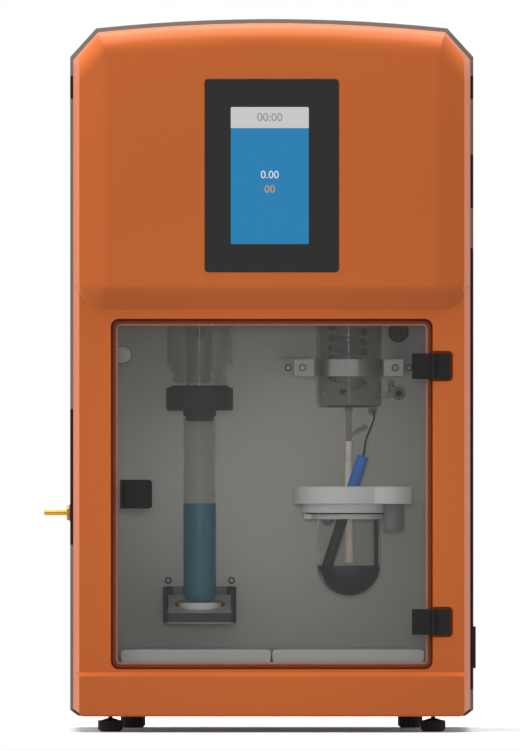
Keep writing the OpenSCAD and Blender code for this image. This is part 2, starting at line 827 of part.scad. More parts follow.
module door_panel() {
    color("#4a4a48", 0.4) front_slab(door_y0, door_y0 + door_t) polygon(round_box(
        -recess_half + door_gap, recess_half - door_gap,
        recess_z0 + door_gap, recess_z1 - door_gap, recess_corner - door_gap));
}

// Pull on the door's face: a plate with a lip along its left edge
module door_pull() {
    lip_t = 2.4;
    plate_t = 3;
    color("#262626") difference() {
        front_slab(door_y0 - pull_lip, door_y0) polygon(concat(
            [[pull_x0, pull_z - pull_h / 2]],
            arc([pull_x0 + pull_w - 4, pull_z - pull_h / 2 + 4], 4, -90, 0),
            arc([pull_x0 + pull_w - 4, pull_z + pull_h / 2 - 4], 4, 0, 90),
            [[pull_x0, pull_z + pull_h / 2]]));
        box(pull_x0 + lip_t, pull_x0 + pull_w + 1, door_y0 - pull_lip - 1, door_y0 - plate_t,
            pull_z - pull_h, pull_z + pull_h);
    }
}

// Round-ended lug that carries the door sensor on the liner's left side
module door_sensor_lug() {
    lug_r = 9.6;
    lug_len = 18.8;
    lug_z = opening_top - 32.3;
    lug_t = 6;
    middle = [lug_len - lug_r - liner_half, lug_z];
    color("#8a8a88") front_slab(frame_back + 6, frame_back + 6 + lug_t) polygon(concat(
        [[-liner_half, lug_z - lug_r]], arc(middle, lug_r, -90, 90, 16), [[-liner_half, lug_z + lug_r]]));
}

// Notch and insert of a black side fitting that starts at the shell's front edge
module insert_notch(side, len, z0, z1) {
    x0 = half_w - insert_t - fit_gap;
    on_side(side) box(x0, half_w + 1, shell_y0 - 1, shell_y0 + len + fit_gap, z0 - fit_gap, z1 + fit_gap);
}

module side_insert(len, z0, z1) {
    box(half_w - insert_t, half_w, shell_y0, shell_y0 + len, z0, z1);
    box(half_w - insert_t, half_w - shell_t, shell_y0 + shell_t + fit_gap, shell_y0 + len + lip_w,
        z0 - lip_w, z1 + lip_w);
}

module grip() {
    z0 = grip_z - grip_h / 2;
    z1 = grip_z + grip_h / 2;
    y0 = shell_y0 + 25;
    y1 = shell_y0 + grip_len - 12;
    wall = 2.4;
    difference() {
        union() {
            side_insert(grip_len, z0, z1);
            box(half_w - grip_pocket - wall, half_w - insert_t + 0.5, y0 - wall, y1 + wall, z0 + 1, z1 + wall);
        }
        box(half_w - grip_pocket, half_w + 1, y0, y1, z0 + 1 + wall, z1 - wall);
        box(half_w - grip_pocket, half_w - insert_t - 1, y0, y1, z0 + 1 + wall, z1);
    }
}

module left_grip() {
    color("#1e1e1e") mirror([1, 0, 0]) grip();
}

module right_grip() {
    color("#1e1e1e") grip();
}

module left_service_panel() {
    color("#242424") difference() {
        mirror([1, 0, 0]) side_insert(left_panel[2], left_panel[0], left_panel[1]);
        rod_x(-half_w - 1, -half_w + insert_t + 1, inlet_y, inlet_z, 7 + fit_gap);
    }
}

module right_service_panels() {
    louvre_pitch = 11;
    louvre_rows = 16;
    louvre_h = 4;
    low = right_panels[0];
    color("#242424") difference() {
        for (p = right_panels) side_insert(p[2], p[0], p[1]);
        box(half_w - insert_t - 1, half_w + 1, power_y - power_w / 2 + 2 - fit_gap,
            power_y + power_w / 2 - 2 + fit_gap, power_z - power_h / 2 + 2 - fit_gap,
            power_z + power_h / 2 - 2 + fit_gap);
        for (i = [0:louvre_rows - 1])
            box(half_w - insert_t - 1, half_w + 1, shell_y0 + 50, shell_y0 + low[2] - 30,
                low[1] - 40 - i * louvre_pitch - louvre_h, low[1] - 40 - i * louvre_pitch);
    }
}

// Boss of the water inlet: flange on the panel and a sleeve through it
module water_inlet_boss() {
    color("#77777a") difference() {
        union() {
            rod_x(-half_w - 1, -half_w, inlet_y, inlet_z, 10.2);
            rod_x(-half_w - 0.5, -half_w + 14, inlet_y, inlet_z, 7);
        }
        rod_x(-half_w - 2, -half_w + 15, inlet_y, inlet_z, 4 + fit_gap);
    }
}

// Brass inlet: hexagon flange against the boss, pipe outside and a tail inside
module water_inlet_pipe() {
    hex_t = 3.3;
    x = -half_w - 1 - hex_t;
    color("#ac7412") difference() {
        union() {
            translate([x, inlet_y, inlet_z]) rotate([0, 90, 0]) cylinder(h = hex_t, r = 8.5, $fn = 6);
            rod_x(x - inlet_len, x + 0.5, inlet_y, inlet_z, inlet_d / 2);
            rod_x(x + hex_t - 0.5, x + hex_t + 20, inlet_y, inlet_z, 4);
        }
        rod_x(x - inlet_len - 1, x + hex_t + 21, inlet_y, inlet_z, inlet_d / 2 - 1.2);
    }
}

// Power inlet: flange, three-pin socket and a window for the rocker
module power_inlet() {
    flange_t = 3.1;
    socket_w = 24.6;
    socket_h = 17;
    socket_z = power_z - 10.4;
    cut = 5;
    x0 = half_w - 18;
    color("#22201f") {
        difference() {
            union() {
                side_slab(half_w, half_w + flange_t) polygon(round_box(power_y - power_w / 2,
                    power_y + power_w / 2, power_z - power_h / 2, power_z + power_h / 2, 2.5));
                box(x0, half_w + 0.5, power_y - power_w / 2 + 2, power_y + power_w / 2 - 2,
                    power_z - power_h / 2 + 2, power_z + power_h / 2 - 2);
            }
            side_slab(x0 + 2, half_w + flange_t + 1) polygon([
                [power_y - socket_w / 2, socket_z - socket_h / 2],
                [power_y + socket_w / 2, socket_z - socket_h / 2],
                [power_y + socket_w / 2, socket_z + socket_h / 2 - cut],
                [power_y + socket_w / 2 - cut, socket_z + socket_h / 2],
                [power_y - socket_w / 2 + cut, socket_z + socket_h / 2],
                [power_y - socket_w / 2, socket_z + socket_h / 2 - cut]]);
            box(x0 + 2, half_w + flange_t + 1, power_y - rocker_w / 2 - 0.6, power_y + rocker_w / 2 + 0.6,
                rocker_z - rocker_h / 2 - 0.6, rocker_z + rocker_h / 2 + 0.6);
        }
        for (p = [[-7, -2], [0, 2], [7, -2]])
            box(x0 + 1, x0 + 13, power_y + p.x - 1, power_y + p.x + 1,
                socket_z + p.y - 2, socket_z + p.y + 2);
        for (s = [-1, 1])
            rod_y(rocker_x, power_y + s * (rocker_w / 2 - 0.4) - 1.7, power_y + s * (rocker_w / 2 - 0.4) + 1.7,
                rocker_z, 1.2);
    }
}

// Rocker of the power switch, pivoted on two stubs of the inlet, at rest in its off position
module power_rocker() {
    color("#101010") translate([rocker_x, power_y, rocker_z]) rotate([0, rocker_tilt, 0]) difference() {
        intersection() {
            rotate([90, 0, 0]) linear_extrude(rocker_w - 0.6, center = true) polygon([
                [-3.2, -3.4], [3.4, -rocker_h / 2 + 0.5], [5.4, -rocker_h / 2 + 0.7], [4.5, 0],
                [5.4, rocker_h / 2 - 0.7], [3.4, rocker_h / 2 - 0.5], [-3.2, 3.4]]);
            rotate([90, 0, 0]) cylinder(h = rocker_w, r = rocker_r, center = true);
        }
        rotate([90, 0, 0]) cylinder(h = rocker_w + 1, r = 1.2 + run_gap, center = true);
    }
}

// Bushings in the liner's back wall: flange in front, sleeve through a hole left by the flange
module wall_bushing(x, z, r, hole) {
    difference() {
        rod_y(x, wall_y - 3, wall_y, z, r);
        if (hole > 0) rod_y(x, wall_y - 4, wall_y + 1, z, hole);
    }
}

module wall_bushings() {
    color("#70706e") {
        wall_bushing(cond_x + 56.3, jacket_z + 15.7, 7.6, 3.7);
        wall_bushing(cond_x - 25.1, lid_z - 34.8, 9.7, 4.6);
        wall_bushing(lead_route[13].x, lead_route[13].z, 5, lead_d / 2 + seat_gap);
        wall_bushing(sample_x, neck_z + 60.3, 7.8, 3.5);
    }
}

module wall_plug() {
    color("#161616") rotate_about_y(cond_x + 56, jacket_z + 84.4) rotate_extrude() polygon(concat(
        [[0, 0], [11.6, 0]], arc([9.6, 3], 2, 0, 90), [[0, 5]]));
}

// Axis turned so that a revolved profile stands out of the back wall
module rotate_about_y(x, z) {
    translate([x, wall_y, z]) rotate([90, 0, 0]) children();
}

module wall_screws() {
    color("#b8b8b8") for (s = [-1, 1])
        rotate_about_y(sample_x + s * 35.5, bracket_z0 + bracket_h + 6.7) rotate_extrude() polygon(concat(
            [[0, 0], [3.9, 0], [3.9, 0.8]], arc([0, -1.5], 4.5, 30, 88), [[0, 3]]));
}

// Clear head: neck on the collar, wide body, dome, and an inner tube on the neck's floor
module splash_head() {
    r = head_d / 2;
    n = neck_d / 2;
    z1 = neck_z + neck_len;
    z2 = z1 + head_step;
    inner_r = 15;
    dome = r - head_mouth_r;
    mouth_z = head_top + dome + 20;
    color("#a8a8a0", 0.5) translate([sample_x, glass_y, 0]) rotate_extrude() polygon(concat(
        [[inner_r - head_t, neck_z], [n, neck_z], [n, z1], [r, z2]],
        arc([head_mouth_r, head_top], dome, 0, 88),
        [[head_mouth_r, mouth_z], [head_mouth_r - head_t, mouth_z]],
        arc([head_mouth_r, head_top], dome - head_t, 93, 0),
        [[r - head_t, z2 + 1], [n - head_t, z1 + 1], [n - head_t, neck_z + head_t + 0.5],
            [inner_r, neck_z + head_t + 0.5], [inner_r, 470], [inner_r - head_t, 470]]));
}

// Black collar of the splash head, with an arm back to the wall
module splash_collar() {
    r = collar_d / 2;
    arm = 22;
    color("#202020") difference() {
        union() {
            translate([sample_x, glass_y, 0]) rotate_extrude() polygon(concat(
                [[0, collar_z]], arc([r - 3, collar_z + 3], 3, -90, 0),
                [[r, neck_z - 3], [r - 1, neck_z - 2.2], [neck_d / 2 + 2, neck_z - 2.2],
                    [neck_d / 2 + 2, neck_z], [0, neck_z]]));
            box(sample_x - arm, sample_x + arm, glass_y, wall_y, collar_z + 4, neck_z - 4);
        }
        rod_z(sample_x, glass_y, collar_z - 1, neck_z + 1, 6);
    }
}

// Rubber stopper: a shoulder under the collar and a taper that plugs the tube
module tube_stopper() {
    taper = tube_r - tube_t - seat_gap;
    color("#1c1c1c") translate([sample_x, glass_y, 0]) rotate_extrude() polygon([
        [6, collar_z], [stopper_r, collar_z], [stopper_r, stopper_z],
        [taper, stopper_z], [taper - 1.4, stopper_z - plug_len], [6, stopper_z - plug_len]]);
}

// Glass bridge that carries vapour from the head to the condenser, bent at both ends
module vapour_bridge() {
    mouth_z = head_top + head_d / 2 - head_mouth_r + 20;
    bore = head_mouth_r - head_t;
    color("#a8a8a0", 0.5) difference() {
        bridge_run(head_mouth_r, mouth_z, jacket_top);
        bridge_run(bore, mouth_z - 1, jacket_top - 1);
    }
}

module bridge_run(r, left_z, right_z) {
    bend_z = bridge_top - bridge_bend;
    rod_z(sample_x, glass_y, left_z, bend_z, r);
    rod_z(cond_x, glass_y, right_z, bend_z, r);
    rod_x(sample_x + bridge_bend, cond_x - bridge_bend, glass_y, bridge_top, r);
    translate([sample_x + bridge_bend, glass_y, bend_z]) rotate([90, 0, 0])
        rotate([0, 0, 90]) rotate_extrude(angle = 90) translate([bridge_bend, 0]) circle(r);
    translate([cond_x - bridge_bend, glass_y, bend_z]) rotate([90, 0, 0])
        rotate_extrude(angle = 90) translate([bridge_bend, 0]) circle(r);
}

// Bracket of the tube rest: back plate on the wall and two slotted cheeks with top tabs
module tube_rest_bracket() {
    y0 = glass_y - 36;
    tab = 6.5;
    tab_h = 9;
    z1 = bracket_z0 + bracket_h;
    color("#232323") difference() {
        union() {
            box(sample_x - rest_w / 2 - cheek_t, sample_x + rest_w / 2 + cheek_t, wall_y - 3, wall_y,
                bracket_z0, z1);
            for (s = [-1, 1]) {
                side_slab(sample_x + s * (rest_w + cheek_t) / 2 - cheek_t / 2,
                    sample_x + s * (rest_w + cheek_t) / 2 + cheek_t / 2)
                    polygon(round_box(y0, wall_y, bracket_z0, z1, 3));
                box(min(sample_x + s * (rest_w / 2 - tab), sample_x + s * (rest_w / 2 + 1)),
                    max(sample_x + s * (rest_w / 2 - tab), sample_x + s * (rest_w / 2 + 1)),
                    wall_y - 20, wall_y, z1 - tab_h, z1);
            }
        }
        for (s = [-1, 1]) for (y = [guide_y, guide_y + 36])
            side_slab(sample_x + s * (rest_w + cheek_t) / 2 - cheek_t,
                sample_x + s * (rest_w + cheek_t) / 2 + cheek_t)
                polygon(round_box(y - guide_pin_r - run_gap, y + guide_pin_r + run_gap,
                    guide_z - rest_travel - guide_pin_r - seat_gap, guide_z + guide_pin_r + run_gap,
                    guide_pin_r - 0.1));
    }
}

// Height of the rest plate's upper face at depth y
function rest_height(y) = plate_z + (y - glass_y) * tan(rest_tilt);

// Sloped plate of the tube rest: folded front flap, side flanges with guide pins, a wide hole around the
// cup and a bridge under it
module tube_rest_plate() {
    y0 = glass_y - rest_len / 2 * cos(rest_tilt);
    y1 = glass_y + rest_len / 2 * cos(rest_tilt);
    half = rest_spread / 2;
    flap = 12;
    side_h = 15;
    color("#8e9090") difference() {
        union() {
            side_slab(sample_x - half, sample_x + half) polygon([
                [y0, rest_height(y0)], [y1, rest_height(y1)], [y1, rest_height(y1) - plate_t],
                [y0 + plate_t, rest_height(y0) - plate_t], [y0 + plate_t + 2, rest_height(y0) - flap],
                [y0 + 2, rest_height(y0) - flap]]);
            box(sample_x - half, sample_x + half, glass_y - bridge_w / 2, glass_y + bridge_w / 2,
                bridge_z - plate_t, bridge_z);
            for (s = [-1, 1]) {
                x = sample_x + s * (half - 1);
                side_slab(x - 1, x + 1) polygon([
                    [y0 + 6, rest_height(y0 + 6) - 1], [y1 - 4, rest_height(y1 - 4) - 1],
                    [y1 - 4, rest_height(y1 - 4) - side_h], [y0 + 20, rest_height(y0 + 20) - side_h]]);
                for (y = [guide_y, guide_y + 36])
                    rod_x(min(x, sample_x + s * (slot_x + cheek_t - 0.5)),
                        max(x, sample_x + s * (slot_x + cheek_t - 0.5)), y, guide_z, guide_pin_r);
            }
        }
        translate([sample_x, glass_y, plate_z]) rotate([rest_tilt, 0, 0])
            cylinder(h = 4 * plate_t, r = hole_r, center = true);
    }
}

// White cup that stands on the plate's bridge, hollowed to the round end of the tube
module tube_rest_cup() {
    color("#e6e6e2") difference() {
        translate([sample_x, glass_y, bridge_z]) rotate_extrude() polygon(concat(
            [[0, 0]], arc([cup_d / 2 - cup_round, cup_round], cup_round, -90, 0),
            [[cup_d / 2, cup_top - bridge_z], [0, cup_top - bridge_z]]));
        translate([sample_x, glass_y, ball_z]) sphere(tube_r + seat_gap);
        rod_z(sample_x, glass_y, ball_z, ball_z + 40, tube_r + seat_gap);
    }
}

// Round-ended glass tube, open at the top with a thickened rim
module sample_tube() {
    inner = tube_r - tube_t;
    color("#b8c4c8", 0.4) translate([sample_x, glass_y, 0]) rotate_extrude() polygon(concat(
        arc([0, ball_z], tube_r, -90, 0, 12), [[tube_r, tube_top], [inner, tube_top]],
        arc([0, ball_z], inner, 0, -90, 12)));
}

module sample_liquid() {
    inner = tube_r - tube_t - run_gap;
    color("#3a5a8a", 0.7) translate([sample_x, glass_y, 0]) rotate_extrude() polygon(concat(
        arc([0, ball_z], inner, -90, 0, 12), [[inner, sample_z], [0, sample_z - 0.8]]));
}

module jacket_form(r, z0, z1, corner) {
    translate([cond_x, glass_y, 0]) rotate_extrude() polygon(concat(
        [[0, z0]], arc([r - corner, z0 + corner], corner, -90, 0),
        arc([r - corner, z1 - corner], corner, 0, 90), [[0, z1]]));
}

module condenser_jacket() {
    color("#aeb0aa", 0.4) difference() {
        jacket_form(jacket_r, jacket_z, jacket_top, jacket_corner);
        jacket_form(jacket_r - jacket_t, jacket_z + jacket_t, jacket_top - jacket_t,
            jacket_corner - jacket_t);
        rod_z(cond_x, glass_y, jacket_z - 1, jacket_top + 1, coil_tube / 2 + fit_gap);
        rod_x(cond_x, cond_x + jacket_r + 2, elbow_route[0].y, elbow_route[0].z, elbow_d / 2 + fit_gap);
    }
}

// Path of the coil: straight down from the top, out to the loops, back to the axis, straight down
function ease(u) = u * u * (3 - 2 * u);
coil_high = jacket_top - coil_tube - coil_run;
coil_turn = 0.75;
coil_low = coil_high - coil_loops * coil_pitch;
function coil_point(r, a, z) = [cond_x + r * cos(a), glass_y + r * sin(a), z];
coil_steps = coil_rings * coil_turn;
coil_path = concat(
    [coil_point(0, 0, jacket_top), coil_point(0, 0, jacket_top - coil_tube)],
    [for (i = [1:coil_steps - 1]) let (u = i / coil_steps)
        coil_point(coil_r * ease(u), 360 * coil_turn * (u - 1), coil_high + coil_run * (1 - u))],
    [for (i = [0:coil_loops * coil_rings])
        coil_point(coil_r, 360 * i / coil_rings, coil_high - coil_pitch * i / coil_rings)],
    [for (i = [1:coil_steps - 1]) let (u = i / coil_steps)
        coil_point(coil_r * ease(1 - u), 360 * coil_turn * u, coil_low - coil_run * u)],
    [coil_point(0, 0, coil_low - coil_run), coil_point(0, 0, jacket_z)]
);

// Least distance between points of the path that are half a loop or more apart, less the tube
function least_gap(p, apart) = min([
    for (i = [0:2:len(p) - 1 - apart]) for (j = [i + apart:2:len(p) - 1]) norm(p[i] - p[j])
]) - coil_tube;

module condenser_coil() {
    echo(coil_least_gap = least_gap(coil_path, coil_rings / 2));
    color("#c8ccc8", 0.6) swept_tube(coil_path, coil_tube / 2, coil_sides);
}

// Steel strap: half a ring round the jacket's front and two ears
module condenser_strap() {
    r = jacket_r + seat_gap;
    z0 = strap_z - strap_w / 2;
    color("#b4b4b2") difference() {
        union() {
            intersection() {
                rod_z(cond_x, glass_y, z0, z0 + strap_w, r + strap_t);
                box(cond_x - r - 5, cond_x + r + 5, glass_y - r - 5, glass_y, z0 - 1, z0 + strap_w + 1);
            }
            for (s = [-1, 1])
                box(min(cond_x + s * (r + 0.5), cond_x + s * ear_out),
                    max(cond_x + s * (r + 0.5), cond_x + s * ear_out),
                    glass_y - strap_t, glass_y, z0, z0 + strap_w);
        }
        rod_z(cond_x, glass_y, z0 - 1, z0 + strap_w + 1, r);
        for (s = [-1, 1])
            rod_y(cond_x + s * (ear_in + ear_out) / 2, glass_y - strap_t - 1, glass_y + 1, strap_z,
                screw_r + fit_gap);
    }
}

// Blocks that hold the strap's ears off the wall, each with a wall flange
module strap_blocks() {
    z0 = strap_z - strap_w / 2;
    flange = 9;
    color("#9c9c9a") difference() {
        for (s = [-1, 1]) {
            box(min(cond_x + s * ear_in, cond_x + s * ear_out), max(cond_x + s * ear_in, cond_x + s * ear_out),
                glass_y, wall_y, z0, z0 + strap_w);
            box(min(cond_x + s * (ear_out - 1), cond_x + s * block_out),
                max(cond_x + s * (ear_out - 1), cond_x + s * block_out),
                wall_y - flange, wall_y, z0, z0 + strap_w);
        }
        for (s = [-1, 1]) {
            rod_y(cond_x + s * (ear_in + ear_out) / 2, glass_y - 1, glass_y + 16, strap_z, screw_r + fit_gap);
            rod_y(cond_x + s * (ear_out + 6.5), wall_y - flange - 1, wall_y + 1, strap_z, screw_r + fit_gap);
        }
    }
}

// Socket-headed screw with its head's underside at depth y
module socket_screw(x, y, z, len) {
    difference() {
        union() {
            rod_y(x, y - 3.4, y, z, screw_head_r);
            rod_y(x, y - 0.5, y + len, z, screw_r);
        }
        translate([x, y - 2, z]) rotate([90, 0, 0]) cylinder(h = 3, r = 1.8, $fn = 6);
    }
}

module strap_screws() {
    color("#5a5a5a") for (s = [-1, 1]) {
        socket_screw(cond_x + s * (ear_in + ear_out) / 2, glass_y - strap_t, strap_z, 14);
        socket_screw(cond_x + s * (ear_out + 6.5), wall_y - 9, strap_z, 8.5);
    }
}

module cooling_water_elbow() {
    color("#b6b8b2", 0.5) swept_tube(elbow_route, elbow_d / 2, 12);
}

// Outlet tube under the condenser: collar, tube and a ribbed side barb
module outlet_tube() {
    barb_z = 329.5;
    barb_len = 24;
    barb_tilt = 60;
    color("#b8bcb8", 0.5) difference() {
        union() {
            translate([cond_x, glass_y, 0]) rotate_extrude() polygon([
                [0, outlet_z0], [outlet_r, outlet_z0], [outlet_r, jacket_z - 6.5], [outlet_r + 0.9, jacket_z - 6],
                [outlet_r + 0.9, jacket_z - 4.5], [outlet_r + 1.6, jacket_z], [0, jacket_z]]);
            translate([cond_x, glass_y, barb_z]) rotate([0, barb_tilt, 0]) rotate_extrude() polygon(concat(
                [[0, 0], [2.2, 0]],
                [for (i = [0:2]) for (p = [[2.5, 9], [3.9, 10], [2.7, 13.4]]) p + [0, i * 4.6]],
                [[2.5, barb_len], [0, barb_len]]));
        }
        rod_z(cond_x, glass_y, outlet_z0 - 1, jacket_z + 1, outlet_r - 1.2);
        translate([cond_x, glass_y, barb_z]) rotate([0, barb_tilt, 0]) cylinder(h = barb_len + 1, r = 1.2);
    }
}

// Delivery hose: a narrow end on the outlet, a thicker run through the lid and a flared tip
module delivery_hose() {
    step_z = 309;
    tip_z = vessel_z + 37;
    dy = hose_y - glass_y;
    bend = [[cond_x, glass_y, outlet_z0], [cond_x, glass_y, 321], [cond_x, glass_y + 0.6, 318],
        [cond_x, glass_y + 2, 314.5], [cond_x, glass_y + dy / 2, 311], [cond_x, hose_y - 1, 306],
        [cond_x, hose_y, 302], [cond_x, hose_y, 297]];
    color("#c4b4a4") {
        swept_tube(bend, hose_top_r, 12);
        translate([cond_x, hose_y, 0]) rotate_extrude() polygon([
            [0, tip_z], [6, tip_z], [hose_r, tip_z + 26], [hose_r, 299], [hose_top_r, 301], [0, 301]]);
    }
}

module lid_outline() {
    translate([cond_x, glass_y]) circle(lid_r);
    translate([cond_x + lobe_off, glass_y - lobe_front]) circle(lobe_r);
}

// Centre line of the electrode
module along_probe() {
    translate(probe_top) rotate([0, probe_tilt, 0]) children();
}

// White lid: disc with a lobe, and an arm back to the wall
module vessel_lid() {
    arm = 30;
    color("#d8d8d4") difference() {
        union() {
            plan_slab(lid_z0, lid_z) lid_outline();
            box(cond_x - arm, cond_x + arm, glass_y, wall_y, lid_z0, lid_z);
        }
        rod_z(cond_x, hose_y, lid_z0 - 1, lid_z + 1, hose_r + fit_gap);
        rod_z(drain_x, glass_y, lid_z0 - 1, lid_z + 1, drain_r + fit_gap);
        along_probe() translate([0, 0, -150]) cylinder(h = 151, r = probe_cap_d / 2 + fit_gap);
    }
}

module vessel_seat_ring() {
    color("#cfcfcb") translate([cond_x, glass_y, seat_z0]) difference() {
        cylinder(h = seat_h, r = seat_r);
        translate([0, 0, -1]) cylinder(h = seat_h + 2, r = vessel_in);
    }
}

module vessel_gasket() {
    color("#1a1a1a") translate([cond_x, glass_y, gasket_z0]) difference() {
        cylinder(h = gasket_t, r = seat_r - 5);
        translate([0, 0, -1]) cylinder(h = gasket_t + 2, r = vessel_in);
    }
}

// Retaining ring under the vessel's rim, with a small tab
module vessel_retaining_ring() {
    color("#c6c6c2") difference() {
        union() {
            rod_z(cond_x, glass_y, ring_z0, gasket_z0, ring_r);
            box(cond_x - ring_r - 8, cond_x - ring_r + 4, glass_y - 6, glass_y + 6, ring_z0, gasket_z0);
        }
        rod_z(cond_x, glass_y, ring_z0 - 1, gasket_z0 + 1, vessel_r + fit_gap);
        rod_z(cond_x, glass_y, gasket_z0 - rim_t - fit_gap, gasket_z0 + 1, rim_r + fit_gap);
    }
}

module titration_vessel() {
    color("#b0b4b0", 0.4) translate([cond_x, glass_y, 0]) rotate_extrude() polygon(concat(
        arc([0, bowl_z], vessel_r, -90, 0, 14),
        [[vessel_r, gasket_z0 - rim_t], [rim_r, gasket_z0 - rim_t], [rim_r, gasket_z0], [vessel_in, gasket_z0]],
        arc([0, bowl_z], vessel_in, 0, -90, 14)));
}

module receiver_liquid() {
    r = vessel_in - 2 * run_gap;
    rise = asin(min(1, (liquid_z - bowl_z) / r));
    color("#221a26") difference() {
        translate([cond_x, glass_y, 0]) rotate_extrude()
            polygon(concat(arc([0, bowl_z], r, -90, rise, 14), [[0, liquid_z]]));
        along_probe() translate([0, 0, -150]) cylinder(h = 151, r = probe_d / 2 + seat_gap);
        rod_z(drain_x, glass_y, drain_z - seat_gap, liquid_z + 1, drain_r + seat_gap);
    }
}

module lid_post() {
    color("#9c9c9c") translate([cond_x + lobe_off + 1.8, glass_y - lobe_front, lid_z0 - post_len]) difference() {
        cylinder(h = post_len, r = post_r);
        translate([0, 0, -1]) cylinder(h = 9, r = 5);
    }
}

// Electrode: capped top, shaft through the lid, rounded tip
module electrode() {
    cap_len = 60;
    len = (probe_top.z - probe_end_z) / cos(probe_tilt);
    r = probe_d / 2;
    color("#35568e") along_probe() rotate_extrude() polygon(concat(
        [[0, -len]], arc([r - 3, -len + 3], 3, -90, 0),
        [[r, -cap_len], [probe_cap_d / 2, -cap_len + 1]],
        arc([probe_cap_d / 2 - 2, -2], 2, 0, 90), [[0, 0]]));
}

module electrode_lead() {
    color("#141414") swept_tube(lead_route, lead_d / 2, 8);
}

module drain_tube() {
    color("#161616") rod_z(drain_x, glass_y, drain_z, lid_z - 2, drain_r);
}

// Drip tray: tapered box with round top corners and a finger notch
module drip_tray(x0, x1) {
    z1 = floor_z + tray_h;
    color("#dcdedc") difference() {
        front_slab(tray_y0, tray_y1) polygon(concat(
            [[x0 + 2, floor_z], [x1 - 2, floor_z]],
            arc([x1 - 5, z1 - 5], 5, 0, 90), arc([x0 + 5, z1 - 5], 5, 90, 180)));
        box(x0 + tray_t + 1.4, x1 - tray_t - 1.4, tray_y0 + tray_t, tray_y1 - tray_t, floor_z + tray_t, z1 + 1);
    }
}

module left_drip_tray() {
    drip_tray(-opening_half + 3, -tray_gap / 2);
}

module right_drip_tray() {
    drip_tray(tray_gap / 2, opening_half - 1);
}

// Levelling foot: fluted knob with a coned top on a stud that turns in the pan's boss
module levelling_foot(x, y) {
    r = foot_d / 2;
    sole_r = 10.8;
    rim_z0 = 2.3;
    rim_z1 = 12.4;
    cone_z = 15.1;
    color("#161616") translate([x, y, 0]) difference() {
        rotate_extrude() polygon([
            [0, 0], [sole_r, 0], [r - 1, rim_z0], [r, rim_z0], [r, rim_z1], [r - 4, rim_z1 + 0.6],
            [stud_d / 2 + 1.2, cone_z], [stud_d / 2, cone_z], [stud_d / 2, base_z + boss_h - 1],
            [0, base_z + boss_h - 1]]);
        for (i = [0:flutes - 1]) rotate([0, 0, 360 * i / flutes])
            translate([r + 1, 0, -1]) cylinder(h = rim_z1 + 1, r = 1.8, $fn = 24);
    }
}

module foot_front_left() {
    levelling_foot(-front_foot_x, front_foot_y);
}

module foot_front_right() {
    levelling_foot(front_foot_x, front_foot_y);
}

module foot_rear_left() {
    levelling_foot(-rear_foot_x, rear_foot_y);
}

module foot_rear_right() {
    levelling_foot(rear_foot_x, rear_foot_y);
}

// Steam generator on three legs in the rear compartment
module steam_generator() {
    r = 55;
    x = 75 - liner_half;
    y = wall_y + liner_t + r + 30;
    z0 = pan_z + 40;
    z1 = z0 + 230;
    color("#a8a8a8") {
        translate([x, y, 0]) rotate_extrude() polygon(concat(
            [[0, z0 - 6]], arc([r - 12, z0 + 6], 12, -90, 0), arc([r - 12, z1 - 6], 12, 0, 90), [[0, z1 + 6]]));
        for (a = [30, 150, 270])
            rod_z(x + 40 * cos(a), y + 40 * sin(a), pan_z, z0 + 2, 6);
        rod_z(x, y, z1, z1 + 40, 8);
    }
}

// Inner modules: supply, pumps and valves, and the control board on the back wall
module inner_modules() {
    y = wall_y + liner_t;
    pump_z = floor_z + 80;
    valve_z = pump_z + 150;
    board_z = valve_z + 140;
    right = liner_half - 15;
    color("#6f7a70") {
        box(right - 130, right - 10, y + 60, y + 160, pan_z, pan_z + 62);
        for (x = [right - 140, right - 60]) {
            box(x, x + 56, y, y + 50, pump_z, pump_z + 50);
            rod_z(x + 28, y + 26, pump_z + 49, pump_z + 112, 22);
        }
        box(right - 150, right, y, y + 34, valve_z, valve_z + 36);
        for (i = [0:3]) rod_z(right - 128 + i * 36, y + 17, valve_z + 35, valve_z + 72, 13);
        for (x = [right - 220, right - 20]) for (z = [board_z + 10, board_z + 170]) rod_y(x, y, y + 9, z, 4);
        box(right - 230, right - 10, y + 9, y + 11, board_z, board_z + 180);
        box(right - 200, right - 120, y + 10.5, y + 34, board_z + 30, board_z + 120);
    }
}

cabinet_shell();
base_pan();
rear_panel();
front_fascia();
chamber_liner();
display_bezel();
display_panel();
display_board();
hinge_cabinet_leaves();
hinge_pins();
left_grip();
right_grip();
left_service_panel();
right_service_panels();
water_inlet_boss();
water_inlet_pipe();
power_inlet();
power_rocker();
door_panel();
door_pull();
hinge_door_leaves();
door_sensor_lug();
wall_bushings();
wall_plug();
wall_screws();
splash_head();
splash_collar();
tube_stopper();
vapour_bridge();
tube_rest_bracket();
tube_rest_plate();
tube_rest_cup();
sample_tube();
sample_liquid();
condenser_jacket();
condenser_coil();
condenser_strap();
strap_blocks();
strap_screws();
cooling_water_elbow();
outlet_tube();
delivery_hose();
vessel_lid();
vessel_seat_ring();
vessel_gasket();
vessel_retaining_ring();
titration_vessel();
receiver_liquid();
lid_post();
electrode();
electrode_lead();
drain_tube();
left_drip_tray();
right_drip_tray();
foot_front_left();
foot_front_right();
foot_rear_left();
foot_rear_right();
steam_generator();
inner_modules();
